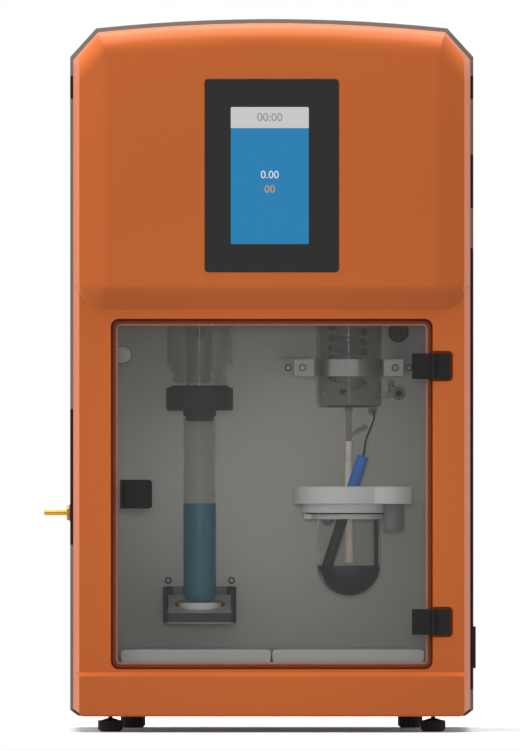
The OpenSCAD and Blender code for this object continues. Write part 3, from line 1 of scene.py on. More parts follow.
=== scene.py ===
import json
import math
import bpy
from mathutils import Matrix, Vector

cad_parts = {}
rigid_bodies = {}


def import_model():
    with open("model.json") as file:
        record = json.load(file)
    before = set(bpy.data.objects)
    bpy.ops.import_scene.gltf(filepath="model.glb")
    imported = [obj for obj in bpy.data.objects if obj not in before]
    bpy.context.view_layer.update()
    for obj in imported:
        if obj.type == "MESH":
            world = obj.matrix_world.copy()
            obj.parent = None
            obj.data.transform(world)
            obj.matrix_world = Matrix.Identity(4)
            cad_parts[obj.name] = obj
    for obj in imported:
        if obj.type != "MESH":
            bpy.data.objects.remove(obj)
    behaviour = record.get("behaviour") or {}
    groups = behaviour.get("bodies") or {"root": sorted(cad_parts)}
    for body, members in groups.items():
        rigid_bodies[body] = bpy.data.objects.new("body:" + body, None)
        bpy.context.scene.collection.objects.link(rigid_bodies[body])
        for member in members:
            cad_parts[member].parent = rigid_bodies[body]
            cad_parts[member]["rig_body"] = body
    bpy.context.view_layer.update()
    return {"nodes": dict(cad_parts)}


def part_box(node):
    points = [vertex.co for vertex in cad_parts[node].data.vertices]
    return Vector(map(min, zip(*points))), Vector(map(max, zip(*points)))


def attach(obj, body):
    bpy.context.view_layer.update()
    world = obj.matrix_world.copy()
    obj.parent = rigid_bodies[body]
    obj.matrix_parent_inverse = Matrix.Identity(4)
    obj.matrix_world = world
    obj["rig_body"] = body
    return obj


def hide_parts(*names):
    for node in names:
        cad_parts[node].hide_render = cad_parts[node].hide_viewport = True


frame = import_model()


# Camera. The unit is seen square from the front through a very long lens, so its sides stay parallel.
# The lens takes in 836 mm of height at the face of the hood.
VIEW_X = -0.0131
VIEW_Z = 0.3977
VIEW_HEIGHT = 0.8363
VIEW_DISTANCE = 27.0
FAR_LIMIT = 100
FILM_WIDTH = 36
HOOD_FACE_Y = -0.215
bpy.ops.object.select_all(action="DESELECT")
bpy.ops.object.camera_add(location=(VIEW_X, HOOD_FACE_Y - VIEW_DISTANCE, VIEW_Z),
                          rotation=(math.pi / 2, 0, 0))
camera = bpy.context.object
camera.data.sensor_width = FILM_WIDTH
camera.data.lens = FILM_WIDTH * VIEW_DISTANCE / VIEW_HEIGHT
camera.data.clip_end = FAR_LIMIT
bpy.context.scene.camera = camera


# Room. A pale matt floor carries the unit's shadow, and what lies beyond it is white to the eye,
# to gloss and through glass, while the light that falls from all round stays plain.
FLOOR_SIZE = 2.4
FLOOR_PALE = (0.9, 0.9, 0.9, 1)
FLOOR_ROUGHNESS = 0.9
PURE_WHITE = (1, 1, 1, 1)
AMBIENT = 0.56
bpy.context.scene.view_settings.view_transform = "Standard"


def seen_directly(tree):
    path = tree.nodes.new("ShaderNodeLightPath")
    first = tree.nodes.new("ShaderNodeMath")
    second = tree.nodes.new("ShaderNodeMath")
    first.operation = second.operation = "MAXIMUM"
    tree.links.new(path.outputs["Is Camera Ray"], first.inputs[0])
    tree.links.new(path.outputs["Is Glossy Ray"], first.inputs[1])
    tree.links.new(first.outputs[0], second.inputs[0])
    tree.links.new(path.outputs["Is Transmission Ray"], second.inputs[1])
    return second.outputs[0]


world = bpy.data.worlds.new("white_room")
bpy.context.scene.world = world
world.use_nodes = True
tree = world.node_tree
tree.nodes.clear()
soft_light = tree.nodes.new("ShaderNodeBackground")
soft_light.inputs["Color"].default_value = PURE_WHITE
soft_light.inputs["Strength"].default_value = AMBIENT
white = tree.nodes.new("ShaderNodeBackground")
white.inputs["Color"].default_value = PURE_WHITE
chosen = tree.nodes.new("ShaderNodeMixShader")
out = tree.nodes.new("ShaderNodeOutputWorld")
tree.links.new(seen_directly(tree), chosen.inputs[0])
tree.links.new(soft_light.outputs[0], chosen.inputs[1])
tree.links.new(white.outputs[0], chosen.inputs[2])
tree.links.new(chosen.outputs[0], out.inputs[0])

bpy.ops.mesh.primitive_plane_add(size=FLOOR_SIZE, location=(0, 0, 0))
floor = bpy.context.object
floor.name = "floor"
paper = bpy.data.materials.new("pale_floor")
paper.use_nodes = True
matt = paper.node_tree.nodes["Principled BSDF"]
matt.inputs["Base Color"].default_value = FLOOR_PALE
matt.inputs["Roughness"].default_value = FLOOR_ROUGHNESS
floor.data.materials.append(paper)
floor.visible_diffuse = False


# Lamps. A broad panel hangs over the unit and brightens the hood's roll, and a second one stands far
# round to the left, so that the right facets are a little darker. Two weak panels from behind the sides
# bring out the hood's side strips, and two spots from the front reach into the chamber.
SPOT_PLACE = (0, -4.2, 0.4)


def panel_lamp(name, place, aim, size, watts, in_gloss=False):
    bpy.ops.object.light_add(type="AREA", location=place)
    lamp = bpy.context.object
    lamp.name = name
    lamp.data.shape = "DISK"
    lamp.data.size = size
    lamp.data.energy = watts
    away = [a - b for a, b in zip(aim, place)]
    flat = math.hypot(away[0], away[1])
    lamp.rotation_euler = (math.atan2(flat, -away[2]), 0, math.atan2(-away[0], away[1]))
    lamp.visible_glossy = in_gloss


def spot_lamp(name, tilt, watts, cone, softness):
    bpy.ops.object.light_add(type="SPOT", location=SPOT_PLACE, rotation=(math.radians(tilt), 0, 0))
    lamp = bpy.context.object
    lamp.name = name
    lamp.data.energy = watts
    lamp.data.spot_size = math.radians(cone)
    lamp.data.spot_blend = 1.0
    lamp.data.shadow_soft_size = softness
    lamp.visible_glossy = False


panel_lamp("top_panel", place=(0, -0.05, 2.6), aim=(0, -0.05, 0.7), size=3.0, watts=100, in_gloss=True)
panel_lamp("left_panel", place=(-3.2, -1.5, 1.9), aim=(0, 0, 0.5), size=1.6, watts=68)
panel_lamp("left_rim_panel", place=(-3.0, 0.6, 0.6), aim=(0, 0, 0.4), size=1.6, watts=31)
panel_lamp("right_rim_panel", place=(3.0, 0.6, 0.6), aim=(0, 0, 0.4), size=1.6, watts=26)
spot_lamp("front_fill", tilt=88, watts=320, cone=5.8, softness=0.25)
spot_lamp("chamber_spot", tilt=88.2, watts=118, cone=5.5, softness=0.08)


# Cabinet. Folded sheet steel with a fine powder coat: shell, base pan and rear panel, all grey.
# Each node is copied, its loose triangles are joined and its sharp edges get a small round.
SHELL_GREY = "757a78"
PAN_GREY = "5c5c5c"
COAT_GRAIN = 900
COAT_DEPTH = 0.0002
BLOTCH_SIZE = 90
ROUGHNESS_SPREAD = 0.06
GRAIN_STRENGTH = 0.35
WELD = 0.00002
LEVEL_ANGLE = 0.5


def srgb(code):
    parts = [int(code[i:i + 2], 16) / 255 for i in (0, 2, 4)]
    return tuple(c / 12.92 if c <= 0.04045 else ((c + 0.055) / 1.055) ** 2.4 for c in parts) + (1.0,)


def coated(name, colour, roughness, grain, depth, mottle=0.06, gloss=0.25, metal=0.0):
    mat = bpy.data.materials.new(name)
    mat.use_nodes = True
    nodes, links = mat.node_tree.nodes, mat.node_tree.links
    body = nodes["Principled BSDF"]
    place = nodes.new("ShaderNodeTexCoord")
    fine = nodes.new("ShaderNodeTexNoise")
    fine.inputs["Scale"].default_value = grain
    fine.inputs["Detail"].default_value = 3
    broad = nodes.new("ShaderNodeTexNoise")
    broad.inputs["Scale"].default_value = grain / BLOTCH_SIZE
    broad.inputs["Detail"].default_value = 4
    links.new(place.outputs["Object"], fine.inputs["Vector"])
    links.new(place.outputs["Object"], broad.inputs["Vector"])
    base = srgb(colour)
    shade = nodes.new("ShaderNodeMix")
    shade.data_type = "RGBA"
    shade.inputs["A"].default_value = tuple(c * (1 - mottle) for c in base[:3]) + (1,)
    shade.inputs["B"].default_value = tuple(min(1, c * (1 + mottle)) for c in base[:3]) + (1,)
    links.new(broad.outputs["Fac"], shade.inputs["Factor"])
    links.new(shade.outputs["Result"], body.inputs["Base Color"])
    rough = nodes.new("ShaderNodeMapRange")
    rough.inputs["To Min"].default_value = max(0.02, roughness - ROUGHNESS_SPREAD)
    rough.inputs["To Max"].default_value = min(1, roughness + ROUGHNESS_SPREAD)
    links.new(broad.outputs["Fac"], rough.inputs["Value"])
    links.new(rough.outputs["Result"], body.inputs["Roughness"])
    bump = nodes.new("ShaderNodeBump")
    bump.inputs["Strength"].default_value = GRAIN_STRENGTH
    bump.inputs["Distance"].default_value = depth
    links.new(fine.outputs["Fac"], bump.inputs["Height"])
    links.new(bump.outputs["Normal"], body.inputs["Normal"])
    body.inputs["Metallic"].default_value = metal
    body.inputs["Specular IOR Level"].default_value = gloss
    return mat


def take(piece):
    bpy.ops.object.select_all(action="DESELECT")
    piece.select_set(True)
    bpy.context.view_layer.objects.active = piece


def soften(piece, edge=0.0, steps=1, sharp=35):
    take(piece)
    if edge:
        bevel = piece.modifiers.new("edge_round", "BEVEL")
        bevel.width = edge
        bevel.segments = steps
        bevel.limit_method = "ANGLE"
        bevel.angle_limit = math.radians(sharp)
        bevel.use_clamp_overlap = True
        bpy.ops.object.modifier_apply(modifier=bevel.name)
    bpy.ops.object.shade_smooth_by_angle(angle=math.radians(sharp))
    flat = piece.modifiers.new("flat_faces", "WEIGHTED_NORMAL")
    flat.keep_sharp = True
    bpy.ops.object.modifier_apply(modifier=flat.name)


def rounded(node, mat, edge=0.0006, steps=2, sharp=35):
    source = frame["nodes"][node]
    piece = bpy.data.objects.new(node + "_finished", source.data.copy())
    bpy.context.scene.collection.objects.link(piece)
    take(piece)
    piece.data.materials.clear()
    piece.data.materials.append(mat)
    bpy.ops.object.mode_set(mode="EDIT")
    bpy.ops.mesh.select_all(action="SELECT")
    bpy.ops.mesh.remove_doubles(threshold=WELD)
    bpy.ops.mesh.dissolve_limited(angle_limit=math.radians(LEVEL_ANGLE))
    bpy.ops.object.mode_set(mode="OBJECT")
    if piece.data.has_custom_normals:
        bpy.ops.mesh.customdata_custom_splitnormals_clear()
    soften(piece, edge, steps, sharp)
    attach(piece, source["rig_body"])
    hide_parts(node)
    return piece


shell_coat = coated("shell_powder_coat", SHELL_GREY, roughness=0.45, grain=COAT_GRAIN, depth=COAT_DEPTH)
pan_coat = coated("pan_powder_coat", PAN_GREY, roughness=0.5, grain=COAT_GRAIN, depth=COAT_DEPTH)
rounded("cabinet_shell", shell_coat, edge=0.0005)
rounded("rear_panel", shell_coat, edge=0.0004, steps=1)
rounded("base_pan", pan_coat, edge=0.0004, steps=1)


# Feet. Four black levelling knobs with fluted rims, moulded in plastic on steel studs.
# Each turns in a boss of the base pan.
FOOT_BLACK = "181818"
foot_skin = coated("foot_moulding", FOOT_BLACK, roughness=0.55, grain=800, depth=0.0003)
for corner in ("front_left", "front_right", "rear_left", "rear_right"):
    rounded("foot_" + corner, foot_skin, edge=0.0004)


# Front fascia. One orange moulding: hood with a rolled top, door frame with a ledge, proud plinth.
# Its skin is satin with a faint orange peel from the tool, and all its edges are soft. The recess round the
# door carries painted light: a painted shadow on its walls, in the corner of the ledge and in the hinge
# pockets, painted shade over the ledge's middle and a painted highlight along its inner edge.
FASCIA_ORANGE = "bc602c"
# Painted light in the door recess: a painted shadow for the gap and the hinge pockets, painted shade for the
# ledge, and a painted highlight for its inner edge.
PAINTED_GAP_SHADOW = "82340f"
LEDGE_SHADE = "964320"
PAINTED_EDGE_HIGHLIGHT = "f09062"
FACET_X = 0.1855
FACET_RUN = 0.02
FACET_ROUND = 0.004
FRAME_Y = -0.203
LEDGE_Y = -0.1965
RECESS_HALF = 0.1793
RECESS_MIDDLE = 0.2656
RECESS_RISE = 0.1953
RECESS_ROUND = 0.009
LEDGE_WIDTH = 0.0078
POCKET_X = 0.2025
BAND_WIDTH = 0.0022
SLACK = 0.0001


def pick(piece, kind, wanted):
    take(piece)
    bpy.ops.object.mode_set(mode="EDIT")
    bpy.ops.mesh.select_mode(type=kind)
    bpy.ops.mesh.select_all(action="DESELECT")
    bpy.ops.object.mode_set(mode="OBJECT")
    for part in piece.data.edges if kind == "EDGE" else piece.data.polygons:
        part.select = wanted(part)
    bpy.ops.object.mode_set(mode="EDIT")


def corners(part):
    return [fascia.data.vertices[v].co for v in part.vertices]


def on_facet_line(edge):
    low, high = corners(edge)
    on_line = all(abs(abs(p.x) - FACET_X) < 5 * SLACK and p.y < HOOD_FACE_Y + 5 * SLACK for p in (low, high))
    return on_line and abs(low.z - high.z) > FACET_RUN


def on_ledge(face):
    return face.normal.y < -0.9 and abs(face.center.y - LEDGE_Y) < 4 * SLACK


def in_recess(point):
    return (FRAME_Y - SLACK < point.y < LEDGE_Y + SLACK and abs(point.x) < POCKET_X
            and abs(point.z - RECESS_MIDDLE) < RECESS_RISE + SLACK)


def from_recess_edge(point):
    across = abs(point.x) - (RECESS_HALF - RECESS_ROUND)
    up = abs(point.z - RECESS_MIDDLE) - (RECESS_RISE - RECESS_ROUND)
    return RECESS_ROUND - math.hypot(max(across, 0), max(up, 0)) - min(max(across, up), 0)


fascia_skin = coated("orange_moulding", FASCIA_ORANGE, roughness=0.32, grain=420, depth=0.00012,
                     mottle=0.02, gloss=0.16)
fascia = rounded("front_fascia", fascia_skin, edge=0.0)
pick(fascia, "EDGE", on_facet_line)
bpy.ops.mesh.bevel(offset=FACET_ROUND, segments=3, affect="EDGES", clamp_overlap=True)
bpy.ops.object.mode_set(mode="OBJECT")
pick(fascia, "FACE", on_ledge)
bpy.ops.mesh.inset(thickness=BAND_WIDTH, use_boundary=True, use_even_offset=True)
bpy.ops.object.mode_set(mode="OBJECT")
# Paint light into the recess: faces at its rim and in the hinge pockets take the painted shadow, the middle
# of the ledge the painted shade, and its inner band the painted highlight.
for name, colour, roughness, gloss in (("recess_corner", PAINTED_GAP_SHADOW, 0.7, 0.05),
                                       ("ledge_shade", LEDGE_SHADE, 0.6, 0.08),
                                       ("ledge_painted_highlight", PAINTED_EDGE_HIGHLIGHT, 0.5, 0.16)):
    fascia.data.materials.append(coated(name, colour, roughness, grain=600, depth=0.0001,
                                        mottle=0.05, gloss=gloss))
for polygon in fascia.data.polygons:
    rim = corners(polygon)
    if all(in_recess(p) for p in rim) and not all(p.y < FRAME_Y + 2 * SLACK for p in rim):
        inward = sum(from_recess_edge(p) for p in rim) / len(rim)
        polygon.material_index = 1 if inward < BAND_WIDTH else 2 if inward < LEDGE_WIDTH - BAND_WIDTH else 3
soften(fascia, edge=0.0009, steps=3, sharp=24)


# Side fittings. Black moulded grips and service panels sit flush in notches of the shell.
# The power module and its rocker stand on the right, the brass water pipe on the left.
FITTING_BLACK = "1b1b1b"
ROCKER_BLACK = "121212"
BOSS_GREY = "7c7c7e"
PIPE_BRASS = "c08a2a"
fitting_skin = coated("black_fitting", FITTING_BLACK, roughness=0.5, grain=700, depth=0.0003, gloss=0.14)
rocker_skin = coated("rocker_black", ROCKER_BLACK, roughness=0.25, grain=700, depth=0.0001,
                     mottle=0.05, gloss=0.4)
boss_skin = coated("boss_grey", BOSS_GREY, roughness=0.5, grain=700, depth=0.0002)
brass = coated("turned_brass", PIPE_BRASS, roughness=0.28, grain=700, depth=0.0001, gloss=0.5, metal=1.0)
for node in ("left_grip", "right_grip", "left_service_panel", "right_service_panels", "power_inlet"):
    rounded(node, fitting_skin, edge=0.0004)
rounded("power_rocker", rocker_skin, edge=0.0005, steps=3)
rounded("water_inlet_boss", boss_skin, edge=0.0004)
rounded("water_inlet_pipe", brass, edge=0.0004)


# Chamber liner. Bent sheet with a light grey coat: floor, two sides and the back wall.
# A sensor lug, bushings, a black plug and screws are fixed to it, and two of the bushings have dished
# black inserts.
LINER_GREY = "c8c7c2"
FIXTURE_GREY = "8c8c88"
LUG_GREY = "b0b0ac"
RIM_DARK = "1c1c1c"
STEEL_BRIGHT = "c8c8c5"
SAMPLE_X = -0.0806
BORES = (("water_bore_insert", 0.1426, 0.3776, 0.0037), ("head_bore_insert", SAMPLE_X, 0.4469, 0.0035))
INSERT_DEPTH = 0.0016
INSERT_LIP = 0.0008
INSERT_DISH = 0.0006
liner_skin = coated("liner_coat", LINER_GREY, roughness=0.55, grain=500, depth=0.0002, mottle=0.02)
fixture_skin = coated("fixture_grey", FIXTURE_GREY, roughness=0.55, grain=500, depth=0.0002, mottle=0.02)
lug_skin = coated("lug_grey", LUG_GREY, roughness=0.55, grain=500, depth=0.0002, mottle=0.02)
# The dark rim colour serves the black bore inserts, and the painted shade on the rims of the lug and the
# screws.
dark_rim = coated("dark_rim", RIM_DARK, roughness=0.5, grain=600, depth=0.0001, gloss=0.1)
bright_steel = coated("bright_steel", STEEL_BRIGHT, roughness=0.4, grain=800, depth=0.0001,
                      mottle=0.05, gloss=0.4, metal=0.6)


def faces_front(polygon):
    return polygon.normal.y < -0.95


# Painted shade: every face not turned to the front takes the dark rim colour, in place of the shade round a
# raised edge.
def paint_rim_shade(piece, flat):
    piece.data.materials.append(dark_rim)
    for polygon in piece.data.polygons:
        if polygon.normal.y > -flat:
            polygon.material_index = 1


rounded("chamber_liner", liner_skin, edge=0.0004)
# The lug's sides and wide bevel carry painted shade.
paint_rim_shade(rounded("door_sensor_lug", lug_skin, edge=0.0012, steps=3), flat=0.85)
rounded("wall_bushings", fixture_skin, edge=0.0006)
for name, x, z, bore in BORES:
    bpy.ops.object.select_all(action="DESELECT")
    bpy.ops.mesh.primitive_cylinder_add(vertices=32, radius=bore - SLACK, depth=INSERT_DEPTH,
                                        location=(x, -INSERT_DEPTH / 2, z), rotation=(math.pi / 2, 0, 0))
    insert = bpy.context.object
    insert.name = name
    bpy.ops.object.transform_apply(location=True, rotation=True, scale=True)
    pick(insert, "FACE", faces_front)
    bpy.ops.mesh.inset(thickness=INSERT_LIP)
    bpy.ops.transform.translate(value=(0, INSERT_DISH, 0))
    bpy.ops.object.mode_set(mode="OBJECT")
    insert.data.materials.append(dark_rim)
    soften(insert, edge=0.0002, steps=2, sharp=30)
    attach(insert, "cabinet")
rounded("wall_plug", fitting_skin, edge=0.0004)
# The wall screws' sides carry painted shade round each head.
paint_rim_shade(rounded("wall_screws", bright_steel, edge=0.0002), flat=0.86)


# Display. A black bezel plate holds a portrait touch panel, bonded flush, with a board behind it.
# The panel is lit: a pale band at its top, blue below, and plain numbers.
BEZEL_BLACK = "272727"
SCREEN_DARK = (0.003, 0.003, 0.003, 1)
SCREEN_BLUE = "2680b4"
BAND_GREY = "cbcbcb"
BAND_Z = 0.6732
SCREEN_GLOW = 0.95
SCREEN_X = -0.0022
INK_DARK = (0.02, 0.02, 0.02, 1)
INK_GLOW = 0.8
INK_THICKNESS = 0.00003
INK_LIFT = 0.00004
BOARD_GREEN = "1d5a3a"
bezel_lacquer = coated("bezel_lacquer", BEZEL_BLACK, roughness=0.45, grain=600, depth=0.00005,
                       mottle=0.02, gloss=0.15)
rounded("display_bezel", bezel_lacquer, edge=0.0005, steps=3)
screen = bpy.data.materials.new("lit_screen")
screen.use_nodes = True
nodes, links = screen.node_tree.nodes, screen.node_tree.links
face = nodes["Principled BSDF"]
place = nodes.new("ShaderNodeTexCoord")
axes = nodes.new("ShaderNodeSeparateXYZ")
in_band = nodes.new("ShaderNodeMath")
in_band.operation = "GREATER_THAN"
in_band.inputs[1].default_value = BAND_Z
picture = nodes.new("ShaderNodeMix")
picture.data_type = "RGBA"
picture.inputs["A"].default_value = srgb(SCREEN_BLUE)
picture.inputs["B"].default_value = srgb(BAND_GREY)
links.new(place.outputs["Object"], axes.inputs[0])
links.new(axes.outputs["Z"], in_band.inputs[0])
links.new(in_band.outputs[0], picture.inputs["Factor"])
links.new(picture.outputs["Result"], face.inputs["Emission Color"])
face.inputs["Emission Strength"].default_value = SCREEN_GLOW
face.inputs["Base Color"].default_value = SCREEN_DARK
face.inputs["Roughness"].default_value = 0.35
face.inputs["Specular IOR Level"].default_value = 0.1
rounded("display_panel", screen, edge=0.0002)
panel_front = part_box("display_panel")[0].y


def numbers(name, words, height, z, colour):
    bpy.ops.object.select_all(action="DESELECT")
    bpy.ops.object.text_add(rotation=(math.pi / 2, 0, 0))
    piece = bpy.context.object
    piece.name = name
    piece.data.body = words
    piece.data.size = height
    piece.data.align_x = "CENTER"
    piece.data.align_y = "CENTER"
    piece.data.extrude = INK_THICKNESS
    bpy.ops.object.convert(target="MESH")
    piece = bpy.context.object
    piece.location = (SCREEN_X, panel_front - INK_LIFT, z)
    bpy.ops.object.transform_apply(location=True, rotation=True, scale=True)
    ink = bpy.data.materials.new(name + "_ink")
    ink.use_nodes = True
    body = ink.node_tree.nodes["Principled BSDF"]
    body.inputs["Base Color"].default_value = INK_DARK
    body.inputs["Emission Color"].default_value = srgb(colour)
    body.inputs["Emission Strength"].default_value = INK_GLOW
    piece.data.materials.append(ink)
    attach(piece, "cabinet")


numbers("screen_clock", "00:00", height=0.013, z=0.685, colour="8a8a8a")
numbers("screen_reading", "0.00", height=0.012, z=0.621, colour="eef4f8")
numbers("screen_count", "00", height=0.012, z=0.605, colour="d89a3a")
board_skin = coated("board_green", BOARD_GREEN, roughness=0.5, grain=900, depth=0.0001)
rounded("display_board", board_skin, edge=0.0003)


# Clear glassware. Blown laboratory glass: splash head with an inner tube, vapour bridge, sample tube,
# condenser jacket, outlet with a ribbed side arm, and the titration vessel. The jacket is the darkest,
# and light passes the glass on its way to the wall.
HEAD_TINT = "eaece9"
BRIDGE_TINT = "eef0ee"
TUBE_TINT = "e6e8e6"
JACKET_TINT = "d4d6d3"
VESSEL_TINT = "f2f4f2"
OUTLET_TINT = "dcdedb"
GLASS_ROUGHNESS = 0.02
ROUND_SMOOTH = 50
RIB_SMOOTH = 22


def clear_glass(name, tint, ior):
    mat = bpy.data.materials.new(name)
    mat.use_nodes = True
    body = mat.node_tree.nodes["Principled BSDF"]
    body.inputs["Base Color"].default_value = srgb(tint)
    body.inputs["Roughness"].default_value = GLASS_ROUGHNESS
    body.inputs["Transmission Weight"].default_value = 1.0
    body.inputs["IOR"].default_value = ior
    return mat


def lets_light_through(piece):
    piece.visible_shadow = False
    piece.visible_diffuse = False


drawn_glass = clear_glass("drawn_glass", OUTLET_TINT, ior=1.34)
for node, blown, smooth in (
        ("splash_head", clear_glass("head_glass", HEAD_TINT, ior=1.23), ROUND_SMOOTH),
        ("vapour_bridge", clear_glass("laboratory_glass", BRIDGE_TINT, ior=1.2), ROUND_SMOOTH),
        ("sample_tube", clear_glass("tube_glass", TUBE_TINT, ior=1.2), ROUND_SMOOTH),
        ("condenser_jacket", clear_glass("jacket_glass", JACKET_TINT, ior=1.2), ROUND_SMOOTH),
        ("titration_vessel", clear_glass("thin_glass", VESSEL_TINT, ior=1.14), ROUND_SMOOTH),
        ("outlet_tube", drawn_glass, RIB_SMOOTH)):
    lets_light_through(rounded(node, blown, edge=0.0, sharp=smooth))


# Splash head fittings. The head stands on a thick black collar whose arm is bolted to the wall.
# A rubber stopper under the collar plugs the sample tube.
COLLAR_BLACK = "1b1b1b"
STOPPER_BLACK = "303030"
collar_skin = coated("collar_black", COLLAR_BLACK, roughness=0.5, grain=700, depth=0.0002)
stopper_rubber = coated("stopper_rubber", STOPPER_BLACK, roughness=0.7, grain=900, depth=0.0003)
rounded("splash_collar", collar_skin, edge=0.0008, steps=3)
rounded("tube_stopper", stopper_rubber, edge=0.0006, steps=3)


# Tube rest. A black slotted bracket with a grey bar at its back, a tilted steel plate with a dark folded
# front and a bright lip, and a white cup. The plate carries the tube and gives way downwards.
BRACKET_BLACK = "0e0e0e"
BAR_GREY = "74787a"
BAR_HALF = 0.03
REST_STEEL = "a0a6a8"
FLAP_DARK = "3a3a3a"
FLAP_LIP = 0.0016
CUP_WHITE = "eceeea"


def cut(piece, place, along):
    take(piece)
    bpy.ops.object.mode_set(mode="EDIT")
    bpy.ops.mesh.select_all(action="SELECT")
    bpy.ops.mesh.bisect(plane_co=place, plane_no=along)
    bpy.ops.object.mode_set(mode="OBJECT")


bracket_skin = coated("bracket_black", BRACKET_BLACK, roughness=0.55, grain=700, depth=0.0003, gloss=0.1)
bracket = rounded("tube_rest_bracket", bracket_skin, edge=0.0005)
bracket.data.materials.append(coated("bar_grey", BAR_GREY, roughness=0.5, grain=700, depth=0.0002))
for side in (-BAR_HALF, BAR_HALF):
    cut(bracket, place=(SAMPLE_X + side, 0, 0), along=(1, 0, 0))
for polygon in bracket.data.polygons:
    if abs(polygon.center.x - SAMPLE_X) < BAR_HALF:
        polygon.material_index = 1
soften(bracket)
plate_steel = coated("rest_steel", REST_STEEL, roughness=0.42, grain=800, depth=0.0001,
                     mottle=0.05, gloss=0.4, metal=0.4)
plate = rounded("tube_rest_plate", plate_steel, edge=0.0008)
plate.data.materials.append(coated("rest_flap", FLAP_DARK, roughness=0.5, grain=800, depth=0.0001))
lip_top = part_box("tube_rest_plate")[0].z + FLAP_LIP
cut(plate, place=(0, 0, lip_top), along=(0, 0, 1))
for polygon in plate.data.polygons:
    if polygon.normal.y < -0.95 and polygon.center.z > lip_top:
        polygon.material_index = 1
soften(plate)
cup_skin = coated("cup_white", CUP_WHITE, roughness=0.4, grain=600, depth=0.0001, mottle=0.02)
rounded("tube_rest_cup", cup_skin, edge=0.0008, steps=3)


# Liquids. The blue sample stands in the tube, and a dark receiver liquid fills the vessel's round end.
# Both wet the glass, so each is spread a little into the wall that holds it.
SAMPLE_BLUE = "2a7288"
RECEIVER_DARK = "221c30"
VESSEL_X = 0.0863
GLASS_Y = -0.075


def filled(node, mat, x, wetting, sink=1.0):
    liquid = rounded(node, mat, edge=0.0003)
    take(liquid)
    bpy.ops.transform.resize(value=(wetting, wetting, sink), orient_type="GLOBAL",
                             center_override=(x, GLASS_Y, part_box(node)[1].z))
    bpy.ops.object.transform_apply(location=True, rotation=True, scale=True)


sample = coated("sample_liquid", SAMPLE_BLUE, roughness=0.08, grain=60, depth=0.00001, mottle=0.02)
receiver = coated("receiver_liquid", RECEIVER_DARK, roughness=0.06, grain=60, depth=0.00001, mottle=0.1)
filled("sample_liquid", sample, x=SAMPLE_X, wetting=1.05)
filled("receiver_liquid", receiver, x=VESSEL_X, wetting=1.04, sink=1.05)


# Condenser. A glass coil winds down the jacket, held to the wall by a steel strap on two grey blocks.
# Cooling water enters by a bent side tube at the foot of the jacket. Four screws hold
# the strap, each with a ring of painted shade round its head.
COIL_TINT = "e8ebe8"
COIL_ENDS = (0.6399, 0.6329, 0.6169)
COIL_FOOT = 0.3619
COIL_R = 0.0195
COIL_TUBE = 0.007
COIL_PITCH = 0.0114
COIL_LOOPS = 20
COIL_TURN = 0.75
RUN_OUT = 0.016
STEPS = 40
ELBOW = ((0.122, -0.062, 0.3753), (0.1265, -0.062, 0.3753), (0.1315, -0.062, 0.3757),
         (0.134, -0.0613, 0.381), (0.134, -0.0575, 0.3885), (0.134, -0.046, 0.3896),
         (0.134, -0.02, 0.3896), (0.134, 0.0, 0.3896))
ELBOW_R = 0.0039
BLOCK_GREY = "c4c4c1"
STRAP_STEEL = "a8a8a5"
SCREW_STEEL = "d0d0ce"
SCREW_X = (0.0187, 0.0344, 0.1382, 0.1539)
SCREW_Z = 0.4064
SCREW_HEAD = 0.0039
RIM_WIDTH = 0.0012


def round_tube(name, node, route, radius, mat, smooth=False):
    bpy.ops.object.select_all(action="DESELECT")
    bpy.ops.curve.primitive_nurbs_path_add()
    piece = bpy.context.object
    piece.name = name
    piece.data.splines.clear()
    line = piece.data.splines.new("NURBS" if smooth else "POLY")
    line.points.add(len(route) - 1)
    for point, place in zip(line.points, route):
        point.co = tuple(place) + (1,)
    if smooth:
        line.order_u = 3
        line.resolution_u = 8
        line.use_endpoint_u = True
    piece.data.dimensions = "3D"
    piece.data.bevel_depth = radius
    piece.data.bevel_resolution = 4
    piece.data.use_fill_caps = True
    bpy.ops.object.convert(target="MESH")
    piece = bpy.context.object
    piece.data.materials.clear()
    piece.data.materials.append(mat)
    bpy.ops.object.shade_smooth_by_angle(angle=math.radians(ROUND_SMOOTH))
    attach(piece, frame["nodes"][node]["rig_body"])
    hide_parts(node)
    return piece


def coil_point(radius, turn, z):
    angle = 2 * math.pi * turn
    return (VESSEL_X + radius * math.cos(angle), GLASS_Y + radius * math.sin(angle), z)


def eased(u):
    return u * u * (3 - 2 * u)


def off_head(polygon):
    x, _, z = polygon.center
    return min(math.hypot(x - axis, z - SCREW_Z) for axis in SCREW_X) > SCREW_HEAD - RIM_WIDTH


coil_top = COIL_ENDS[2]
coil_low = coil_top - COIL_LOOPS * COIL_PITCH
shift = [i / (STEPS * COIL_TURN) for i in range(1, int(STEPS * COIL_TURN))]
route = [coil_point(0, 0, z) for z in COIL_ENDS[:2]]
route += [coil_point(COIL_R * eased(u), COIL_TURN * (u - 1), coil_top + RUN_OUT * (1 - u)) for u in shift]
route += [coil_point(COIL_R, i / STEPS, coil_top - COIL_PITCH * i / STEPS)
          for i in range(COIL_LOOPS * STEPS + 1)]
route += [coil_point(COIL_R * (1 - eased(u)), COIL_TURN * u, coil_low - RUN_OUT * u) for u in shift]
route += [coil_point(0, 0, coil_low - RUN_OUT), coil_point(0, 0, COIL_FOOT)]
coil_glass = clear_glass("coil_glass", COIL_TINT, ior=1.26)
lets_light_through(round_tube("condenser_coil_wound", "condenser_coil", route, COIL_TUBE / 2, coil_glass))
lets_light_through(round_tube("cooling_water_elbow_bent", "cooling_water_elbow", ELBOW, ELBOW_R, drawn_glass,
                              smooth=True))
block_skin = coated("block_grey", BLOCK_GREY, roughness=0.5, grain=600, depth=0.0002)
strap_skin = coated("strap_steel", STRAP_STEEL, roughness=0.28, grain=800, depth=0.0001,
                    mottle=0.05, gloss=0.5, metal=0.9)
